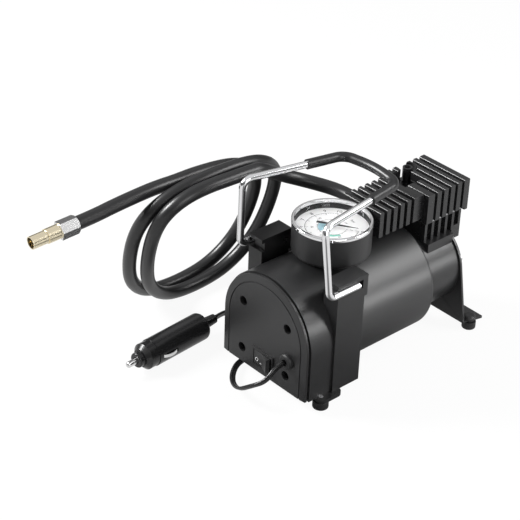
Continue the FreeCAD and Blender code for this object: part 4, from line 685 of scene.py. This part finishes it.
# %% The rounded pieces
dress("front_cover", housing_plastic, "housing_plastic", 0.45)
dress("end_housing", housing_plastic, "housing_plastic", 0.35)
dress("switch_housing", switch_plastic, "switch_plastic", 0.3)
dress("switch_rocker", rocker_plastic, "rocker_plastic", 0.3, "rocker")
dress("cylinder_head", casting_black, "casting_black", 0.45)
dress("cylinder_block", casting_black, "casting_black", 0.35)
dress("crankcase", crankcase_black, "casting_black", 0.4)
dress("rear_plate", plate_paint, "can_paint", 0.4, flat_angle=0.0)
dress("rubber_feet", soft_rubber, "soft_rubber", 0.5)
dress("hose_nut", crankcase_black, "nut_black", 0.6)
dress("hose_ferrule", plated_steel, "plated_steel", 0.3)
dress("brass_nozzle", brass, "brass", 0.25, "nozzle")


# %% [markdown]
# The rocker carries two plain marks, a ring for off and a bar for on. They could be painted by the
# material, but a small flat mesh gives a clean edge at any size. Each is laid on the rocker by looking
# along the motor axis: a ray finds the surface and its direction, and the mark sits a few hundredths of a
# millimetre above it.

# %% Laying a mark on a solid
MARK_LIFT = 0.06 * MM
LOOK_FROM = 60


def surface_below(node, x, z):
    """The point and the direction of a solid's surface, seen from the front at a place."""
    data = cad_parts[node].data
    tree = BVHTree.FromPolygons([v.co for v in data.vertices], [p.vertices for p in data.polygons])
    place, normal, _, _ = tree.ray_cast(mm(x, front_y - LOOK_FROM, z), Vector((0, 1, 0)))
    return place, normal


def flat_mark(name, corners, faces, node, x, z):
    """A flat mark, given by its corners in millimetres, laid on a solid's surface."""
    place, normal = surface_below(node, x, z)
    across = UPRIGHT.cross(normal).normalized()
    up = normal.cross(across)
    data = bpy.data.meshes.new(name)
    data.from_pydata([place + normal * MARK_LIFT + (across * u + up * v) * MM for u, v in corners], [], faces)
    return show(name, data)


mark_white, _ = new_material("mark_white", (0.55, 0.55, 0.55), roughness=0.5)
print("marks sit", MARK_LIFT / MM, "mm above the rocker")

# %% Marks on the switch
RING_RADIUS = 1.5
RING_STEPS = 32
MARK_WIDTH = 0.45
BAR_LENGTH = 3.0
ring_corners = []
ring_faces = []
for i in range(RING_STEPS):
    j = (i + 1) % RING_STEPS
    angle = 2 * math.pi * i / RING_STEPS
    for radius in (RING_RADIUS - MARK_WIDTH, RING_RADIUS):
        ring_corners.append((radius * math.cos(angle), radius * math.sin(angle)))
    ring_faces.append((2 * i, 2 * i + 1, 2 * j + 1, 2 * j))
bar_u = BAR_LENGTH / 2
bar_v = MARK_WIDTH / 2
bar_corners = [(-bar_u, -bar_v), (bar_u, -bar_v), (bar_u, bar_v), (-bar_u, bar_v)]
for name, corners, faces, x, z in (("switch_mark_off", ring_corners, ring_faces, -5.5, 20.0),
                                   ("switch_mark_on", bar_corners, [(0, 1, 2, 3)], -0.7, 18.3)):
    mark = flat_mark(name, corners, faces, "switch_rocker", x, z)
    mark.data.materials.append(mark_white)
    join_model(mark, "rocker", "dial_white")
    print(name, "at", [round(c / MM, 1) for c in mark.data.vertices[0].co])


# %% [markdown]
# A thin strap ties the put-away coil, as on a new cord. It is one closed curve that goes once round the
# bundle of turns. Beside each corner stands one more point on either side, so that the smooth curve turns
# sharply there and runs straight between the corners.

# %% Tie round the coil
TIE_RADIUS = 0.45
TIE_ANGLE = math.radians(200)
TIE_ROOM = 1.2
TIE_TOP_ROOM = 0.4
TIE_FLOOR_ROOM = 0.1
TIE_SHARES = (0.0, 0.12, 0.5, 0.88)
bundle_inner = COIL_INNER - CORD_WIDTH / 2 - TIE_ROOM
bundle_outer = COIL_INNER + COIL_TURNS * COIL_PITCH + CORD_WIDTH / 2 + TIE_ROOM
bundle_top = CORD_LOW + COIL_PITCH * (COIL_LAYERS - 1) + CORD_HEIGHT + TIE_TOP_ROOM
bundle_low = TIE_RADIUS + TIE_FLOOR_ROOM


def beside_coil(radius, height):
    """A point beside the coil's bundle of turns, on the side where the tie goes round."""
    return at(COIL_X + radius * math.cos(TIE_ANGLE), COIL_BACK + radius * math.sin(TIE_ANGLE), height)


loop = [(bundle_inner, bundle_low), (bundle_outer, bundle_low),
        (bundle_outer, bundle_top), (bundle_inner, bundle_top)]
tie_points = []
for (r0, z0), (r1, z1) in zip(loop, loop[1:] + loop[:1]):
    for share in TIE_SHARES:
        tie_points.append(beside_coil(r0 + (r1 - r0) * share, z0 + (z1 - z0) * share))
coil_tie = route_curve("coil_tie", tie_points, TIE_RADIUS * MM)
coil_tie.data.splines[0].use_cyclic_u = True
coil_tie.data.materials.append(cord_jacket)
join_model(coil_tie, "frame", "cord_jacket")
print("tie round the coil,", len(tie_points), "points")


# %% [markdown]
# The other solids already have their shape: turned, bent or hidden pieces. They only need a finish. The
# pieces inside the motor and the pump are never seen here, but someone may open the model, so they get
# their real metals too.

# %% Finishes for the solids that stay
finishes = {
    cord_jacket: ["plug_sleeve"],
    soft_rubber: ["cord_grommet", "head_gasket"],
    grip_rubber: ["handle_grip"],
    chrome_wire: ["handle_wire"],
    bezel_chrome: ["gauge_bezel"],
    zinc_steel: ["cover_screws", "foot_screws", "pump_screws", "head_bolts", "can_screws",
                 "switch_terminals"],
    can_paint: ["motor_can"],
    gauge_plastic: ["gauge_case"],
    plug_plastic: ["plug_body", "plug_cap"],
    contact_metal: ["plug_contact_left", "plug_contact_right", "plug_centre_pin"],
    core_steel: ["armature_core", "motor_shaft", "crank_disc", "motor_bearings", "rod_bearing",
                 "piston_clamp_screw", "reed_valves", "valve_plate", "motor_magnets", "brush_springs",
                 "plug_spring", "carbon_brushes"],
    copper: ["armature_windings", "commutator"],
    cast_aluminium: ["motor_end_cap", "connecting_rod", "piston_cup", "brush_card"],
    brass: ["gauge_movement"],
}
for material, nodes in finishes.items():
    for node in nodes:
        give(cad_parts[node], material)
    print(material.name, "on", len(nodes), "solids")


# %% [markdown]
# The gauge's face is white card under clear plastic, and the card glows faintly: a painted light that keeps
# it bright white. Its ink is a little uneven, as print on card is. The clear plastic bends light less than
# glass would, so that the pointer and the numbers stay where they are.

# %% Card, ink and lens
INK_WEAR = 1.15
INK_DUST = 0.01


def printed(name, colour):
    """A print colour with a faint unevenness, as ink on card has."""
    material, ink = new_material(name, colour, roughness=0.6)
    worn = tuple(min(1.0, c * INK_WEAR + INK_DUST) for c in colour)
    colour_mix(material, object_noise(material, scale=700.0), colour, worn, ink.inputs["Base Color"])
    return material


dial_white, card = new_material("dial_white", (0.88, 0.88, 0.88), roughness=0.55)
# The card glows faintly: a painted light that makes the dial read whiter than the lamps alone light it.
card.inputs["Emission Color"].default_value = (1.0, 1.0, 1.0, 1.0)
card.inputs["Emission Strength"].default_value = 0.16
bump_from(dial_white, card, object_noise(dial_white, scale=3000.0), strength=0.1, distance=0.00002)
print_grey = printed("print_grey", (0.045, 0.045, 0.05))
print_cyan = printed("print_cyan", (0.42, 0.66, 0.74))
print_green = printed("print_green", (0.20, 0.55, 0.45))
pointer_black = printed("pointer_black", (0.010, 0.010, 0.011))
lens_clear, clear = new_material("lens_clear", (1.0, 1.0, 1.0), roughness=0.02)
clear.inputs["Transmission Weight"].default_value = 1.0
clear.inputs["IOR"].default_value = 1.12
bump_from(lens_clear, clear, object_noise(lens_clear, scale=40.0), strength=0.02, distance=0.0001)
for node, material in (("gauge_dial", dial_white), ("gauge_pointer", pointer_black),
                       ("gauge_lens", lens_clear), ("plug_fuse", lens_clear)):
    give(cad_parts[node], material)
    print(node, "in", material.name)


# %% [markdown]
# The print is generic: two thin arcs, one for a scale in bar outside and one for psi inside, and two plain
# tinted zones. The pointer swings 270 degrees clockwise, so the scales start where it rests and run
# clockwise too. Flat bands a few hundredths of a millimetre above the card are enough for ink.

# %% Arcs and zones
INK_LIFT = 0.03 * MM
DIAL_ZERO = 33.0
DIAL_SWEEP = -270.0
ARC_STEPS = 64
dial_low, dial_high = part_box("gauge_dial")
dial_centre = Vector(((dial_low.x + dial_high.x) / 2, (dial_low.y + dial_high.y) / 2, dial_high.z + INK_LIFT))


def on_dial(radius, degrees):
    """A point on the dial, from its centre and its angle from the model's right."""
    angle = math.radians(degrees)
    return dial_centre + mm(radius * math.cos(angle), radius * math.sin(angle), 0.0)


def arc_band(name, inner, outer, start, end, ink):
    """A flat printed band round the dial's centre."""
    corners = []
    for step in range(ARC_STEPS + 1):
        degrees = start + (end - start) * step / ARC_STEPS
        corners += [on_dial(inner, degrees), on_dial(outer, degrees)]
    faces = [(2 * i, 2 * i + 1, 2 * i + 3, 2 * i + 2) for i in range(ARC_STEPS)]
    if end < start:
        faces = [face[::-1] for face in faces]
    data = bpy.data.meshes.new(name)
    data.from_pydata(corners, [], faces)
    data.materials.append(ink)
    join_model(show(name, data), "frame", "pointer_black")
    print(name, "from", start, "to", end, "degrees")


arc_band("dial_outer_arc", 18.6, 18.9, DIAL_ZERO, DIAL_ZERO + DIAL_SWEEP, print_grey)
arc_band("dial_inner_arc", 10.0, 10.25, DIAL_ZERO, DIAL_ZERO + DIAL_SWEEP, print_grey)
arc_band("dial_cyan_zone", 2.6, 9.8, -175.0, -99.0, print_cyan)
arc_band("dial_green_zone", 10.5, 12.6, -60.0, -15.0, print_green)


# %% [markdown]
# The ticks repeat round the dial, so Geometry Nodes place them: points along an arc, one small bar on each,
# turned to face the centre. The inputs are the number of ticks, their length, their width and their
# distance from the centre, so one tree makes all three rings.

# %% A tree of nodes for ticks
def tick_tree():
    """The node tree, and its input sockets by name."""
    tree = bpy.data.node_groups.new("dial_ticks", "GeometryNodeTree")
    face = tree.interface
    face.new_socket("Geometry", in_out="INPUT", socket_type="NodeSocketGeometry")
    sockets = {}
    for name, kind in (("Tick count", "Int"), ("Tick length", "Float"), ("Tick width", "Float"),
                       ("Ring radius", "Float"), ("Ink", "Material")):
        sockets[name] = face.new_socket(name, in_out="INPUT", socket_type="NodeSocket" + kind)
    face.new_socket("Geometry", in_out="OUTPUT", socket_type="NodeSocketGeometry")
    nodes = tree.nodes
    start = nodes.new("NodeGroupInput")
    end = nodes.new("NodeGroupOutput")
    arc = nodes.new("GeometryNodeCurveArc")
    arc.inputs["Start Angle"].default_value = math.radians(DIAL_ZERO)
    arc.inputs["Sweep Angle"].default_value = math.radians(DIAL_SWEEP)
    bar = nodes.new("GeometryNodeMeshGrid")
    bar.inputs["Vertices X"].default_value = 2
    bar.inputs["Vertices Y"].default_value = 2
    place = nodes.new("GeometryNodeInstanceOnPoints")
    tangent = nodes.new("GeometryNodeInputTangent")
    turn = nodes.new("FunctionNodeAlignRotationToVector")
    turn.axis = "Y"
    turn.pivot_axis = "Z"
    real = nodes.new("GeometryNodeRealizeInstances")
    paint = nodes.new("GeometryNodeSetMaterial")
    for source, socket, node, target in (
            (start, "Tick count", arc, "Resolution"), (start, "Ring radius", arc, "Radius"),
            (start, "Tick length", bar, "Size X"), (start, "Tick width", bar, "Size Y"),
            (arc, "Curve", place, "Points"), (bar, "Mesh", place, "Instance"),
            (tangent, "Tangent", turn, "Vector"), (turn, "Rotation", place, "Rotation"),
            (place, "Instances", real, "Geometry"), (real, "Geometry", paint, "Geometry"),
            (start, "Ink", paint, "Material"), (paint, "Geometry", end, "Geometry")):
        tree.links.new(source.outputs[socket], node.inputs[target])
    return tree, sockets


ticks_tree, tick_sockets = tick_tree()
print("the tree has", len(ticks_tree.nodes), "nodes")

# %% Rings of ticks
def tick_ring(name, count, length, width, radius):
    """One ring of ticks as a plain mesh on the dial."""
    ring = show(name, bpy.data.meshes.new(name))
    ticks = ring.modifiers.new("ticks", "NODES")
    ticks.node_group = ticks_tree
    for key, value in (("Tick count", count), ("Tick length", length * MM), ("Tick width", width * MM),
                       ("Ring radius", radius * MM), ("Ink", print_grey)):
        ticks[tick_sockets[key].identifier] = value
    plain_mesh(ring)
    ring.data.transform(Matrix.Translation(dial_centre))
    join_model(ring, "frame", "pointer_black")
    print(name, len(ring.data.polygons), "ticks")


tick_ring("dial_major_ticks", count=11, length=2.4, width=0.34, radius=17.5)
tick_ring("dial_minor_ticks", count=51, length=1.2, width=0.18, radius=18.1)
tick_ring("dial_psi_ticks", count=16, length=1.2, width=0.2, radius=10.8)


# %% [markdown]
# The numbers are plain ones in Blender's own font: 0 to 10 bar outside, and every thirtieth psi inside.
# Each has its top outwards, as on a real dial. Text is made a mesh before it is moved, so that its place is
# in its points.

# %% Numbers on the dial
BAR_NUMBERS = 10
PSI_TICKS = 15
PSI_EVERY = 3
PSI_STEP = 10
GAP_MIDDLE = 78.0


def dial_text(name, words, size, radius, degrees):
    """A printed word whose top points away from the dial's centre."""
    data = bpy.data.curves.new(name, "FONT")
    data.body = words
    data.size = size * MM
    data.align_x = "CENTER"
    data.align_y = "CENTER"
    text = show(name, data)
    bpy.context.view_layer.update()
    mesh = bpy.data.meshes.new_from_object(text)
    bpy.data.objects.remove(text)
    turn = Matrix.Rotation(math.radians(degrees - 90), 4, "Z")
    mesh.transform(Matrix.Translation(on_dial(radius, degrees)) @ turn)
    piece = show(name, mesh)
    give(piece, print_grey)
    join_model(piece, "frame", "pointer_black")


for number in range(BAR_NUMBERS + 1):
    dial_text("dial_bar_" + str(number), str(number), size=4.4, radius=21.6,
              degrees=DIAL_ZERO + DIAL_SWEEP * number / BAR_NUMBERS)
for tick in range(0, PSI_TICKS + 1, PSI_EVERY):
    dial_text("dial_psi_" + str(tick), str(tick * PSI_STEP), size=2.7, radius=13.6,
              degrees=DIAL_ZERO + DIAL_SWEEP * tick / PSI_TICKS)
dial_text("dial_unit_bar", "bar", size=3.4, radius=17.0, degrees=GAP_MIDDLE)
dial_text("dial_unit_psi", "psi", size=2.6, radius=11.5, degrees=GAP_MIDDLE)
print("numbers to", BAR_NUMBERS, "bar and", PSI_TICKS * PSI_STEP, "psi")


# %% [markdown]
# The camera sees a white floor and a white background, as in a shop picture. What the shiny pieces mirror
# is another matter: chrome needs dark and bright areas. So in reflections the floor has a dark strip
# towards the camera, and the room is dark near the horizon and bright overhead. The Light Path node tells
# these rays apart.

# %% The floor
CAMERA_SHARE = 0.93
MIRRORED_MIDDLE = 0.16
MIRRORED_SIDES = 0.90
MIRROR_DARK_END = 0.03
MIRROR_BRIGHT_END = 0.13
FLOOR_HALF = 3.0


def mixed(owner, share, first, second):
    """The blend of two shaders, where share is that of the second."""
    mix = add_node(owner, "ShaderNodeMixShader")
    wire_up(owner, share, mix.inputs["Fac"])
    wire_up(owner, first, mix.inputs[1])
    wire_up(owner, second, mix.inputs[2])
    return mix.outputs["Shader"]


def seen_directly(owner, paths):
    """1 for what the camera sees, also through the lens, and 0 for other rays."""
    seen = add_node(owner, "ShaderNodeMath", operation="MAXIMUM")
    wire_up(owner, paths.outputs["Is Camera Ray"], seen.inputs[0])
    wire_up(owner, paths.outputs["Is Transmission Ray"], seen.inputs[1])
    return seen.outputs[0]


def mirrored_strip(material):
    """The floor as reflections show it: dark in the middle of the picture and bright to its sides."""
    place = add_node(material, "ShaderNodeNewGeometry")
    sideways = add_node(material, "ShaderNodeVectorMath", operation="DOT_PRODUCT")
    sideways.inputs[1].default_value = (math.cos(CAMERA_AZIMUTH), math.sin(CAMERA_AZIMUTH), 0.0)
    wire_up(material, place.outputs["Position"], sideways.inputs[0])
    away = add_node(material, "ShaderNodeMath", operation="ABSOLUTE")
    wire_up(material, sideways.outputs["Value"], away.inputs[0])
    slope = add_node(material, "ShaderNodeMapRange")
    slope.inputs["From Min"].default_value = MIRROR_DARK_END
    slope.inputs["From Max"].default_value = MIRROR_BRIGHT_END
    slope.inputs["To Min"].default_value = MIRRORED_MIDDLE
    slope.inputs["To Max"].default_value = MIRRORED_SIDES
    wire_up(material, away.outputs[0], slope.inputs["Value"])
    glow = add_node(material, "ShaderNodeEmission")
    wire_up(material, slope.outputs["Result"], glow.inputs["Strength"])
    return glow.outputs["Emission"]


def stage_floor():
    """A floor that takes a faint shadow and is almost pure white to the camera."""
    material, shader = new_material("stage_white", (0.80, 0.80, 0.80), roughness=0.9)
    paths = add_node(material, "ShaderNodeLightPath")
    share = add_node(material, "ShaderNodeMath", operation="MULTIPLY")
    share.inputs[1].default_value = CAMERA_SHARE
    wire_up(material, seen_directly(material, paths), share.inputs[0])
    bright = add_node(material, "ShaderNodeEmission")
    for_camera = mixed(material, share.outputs[0], shader.outputs["BSDF"], bright.outputs["Emission"])
    for_all = mixed(material, paths.outputs["Is Glossy Ray"], for_camera, mirrored_strip(material))
    wire_up(material, for_all, material.node_tree.nodes["Material Output"].inputs["Surface"])
    data = bpy.data.meshes.new("studio_floor")
    corners = [(x * FLOOR_HALF, y * FLOOR_HALF, 0) for x, y in ((-1, -1), (1, -1), (1, 1), (-1, 1))]
    data.from_pydata(corners, [], [(0, 1, 2, 3)])
    data.materials.append(material)
    show("studio_floor", data)


stage_floor()
print("floor", 2 * FLOOR_HALF, "m wide")


# %% [markdown]
# The room works the same way. A white sky would wash out everything that is black, so only the camera sees
# white. For soft light the room is dim, and for reflections it is a ladder of greys by height.

# %% The room
ROOM_FILL = 0.22
HORIZON = (0.10, 0.10, 0.10)
ZENITH = (0.75, 0.75, 0.76)
ZENITH_HEIGHT = 0.85
ROOM_BANDS = ((0.22, 0.14), (0.42, 0.30), (0.60, 0.85))


def room_bands(world):
    """The greys that reflections show, from the horizon up."""
    place = add_node(world, "ShaderNodeTexCoord")
    split = add_node(world, "ShaderNodeSeparateXYZ")
    wire_up(world, place.outputs["Generated"], split.inputs["Vector"])
    ramp = add_node(world, "ShaderNodeValToRGB")
    stops = ramp.color_ramp.elements
    stops[0].position = 0.0
    stops[0].color = (*HORIZON, 1.0)
    stops[1].position = ZENITH_HEIGHT
    stops[1].color = (*ZENITH, 1.0)
    for height, grey in ROOM_BANDS:
        stops.new(height).color = (grey, grey, grey, 1.0)
    wire_up(world, split.outputs["Z"], ramp.inputs["Fac"])
    sky = add_node(world, "ShaderNodeBackground")
    wire_up(world, ramp.outputs["Color"], sky.inputs["Color"])
    return sky.outputs["Background"]


def room_light():
    """A white world for the camera, a dim one for soft light, and a banded one for reflections."""
    world = bpy.data.worlds.new("studio")
    world.use_nodes = True
    bpy.context.scene.world = world
    fill = world.node_tree.nodes["Background"]
    fill.inputs["Color"].default_value = (1.0, 1.0, 1.0, 1.0)
    fill.inputs["Strength"].default_value = ROOM_FILL
    white = add_node(world, "ShaderNodeBackground")
    white.inputs["Strength"].default_value = 1.0
    paths = add_node(world, "ShaderNodeLightPath")
    seen = seen_directly(world, paths)
    for_camera = mixed(world, seen, fill.outputs["Background"], white.outputs["Background"])
    for_all = mixed(world, paths.outputs["Is Glossy Ray"], for_camera, room_bands(world))
    wire_up(world, for_all, world.node_tree.nodes["World Output"].inputs["Surface"])


room_light()
print("room with", len(ROOM_BANDS) + 2, "bands")


# %% [markdown]
# Four soft boxes light the model. Black things are seen by what they mirror, so each box stands where some
# side of the body mirrors it towards the camera. The one behind on the right draws the broad light along
# the can and a thin one along each fin, and the one on the left does the same for the front edges.

# %% Lamps
light_target = mm(0, 0, 60)


def soft_box(name, place, width, height, power):
    """A rectangular lamp that looks at the middle of the body; its sides are in metres."""
    data = bpy.data.lights.new(name, "AREA")
    data.shape = "RECTANGLE"
    data.size = width
    data.size_y = height
    data.energy = power
    lamp = show(name, data)
    lamp.location = place
    lamp.rotation_euler = (light_target - place).to_track_quat("-Z", "Y").to_euler()
    print(name, power, "W")


soft_box("back_light", mm(520, 620, 640), width=0.55, height=0.40, power=7.0)
soft_box("left_light", mm(-720, -600, 640), width=0.40, height=0.35, power=22.0)
soft_box("right_light", mm(900, -300, 400), width=0.5, height=0.6, power=4.0)
soft_box("side_glow", mm(800, 560, 180), width=0.25, height=0.2, power=3.6)
bpy.context.scene.view_settings.view_transform = "Standard"
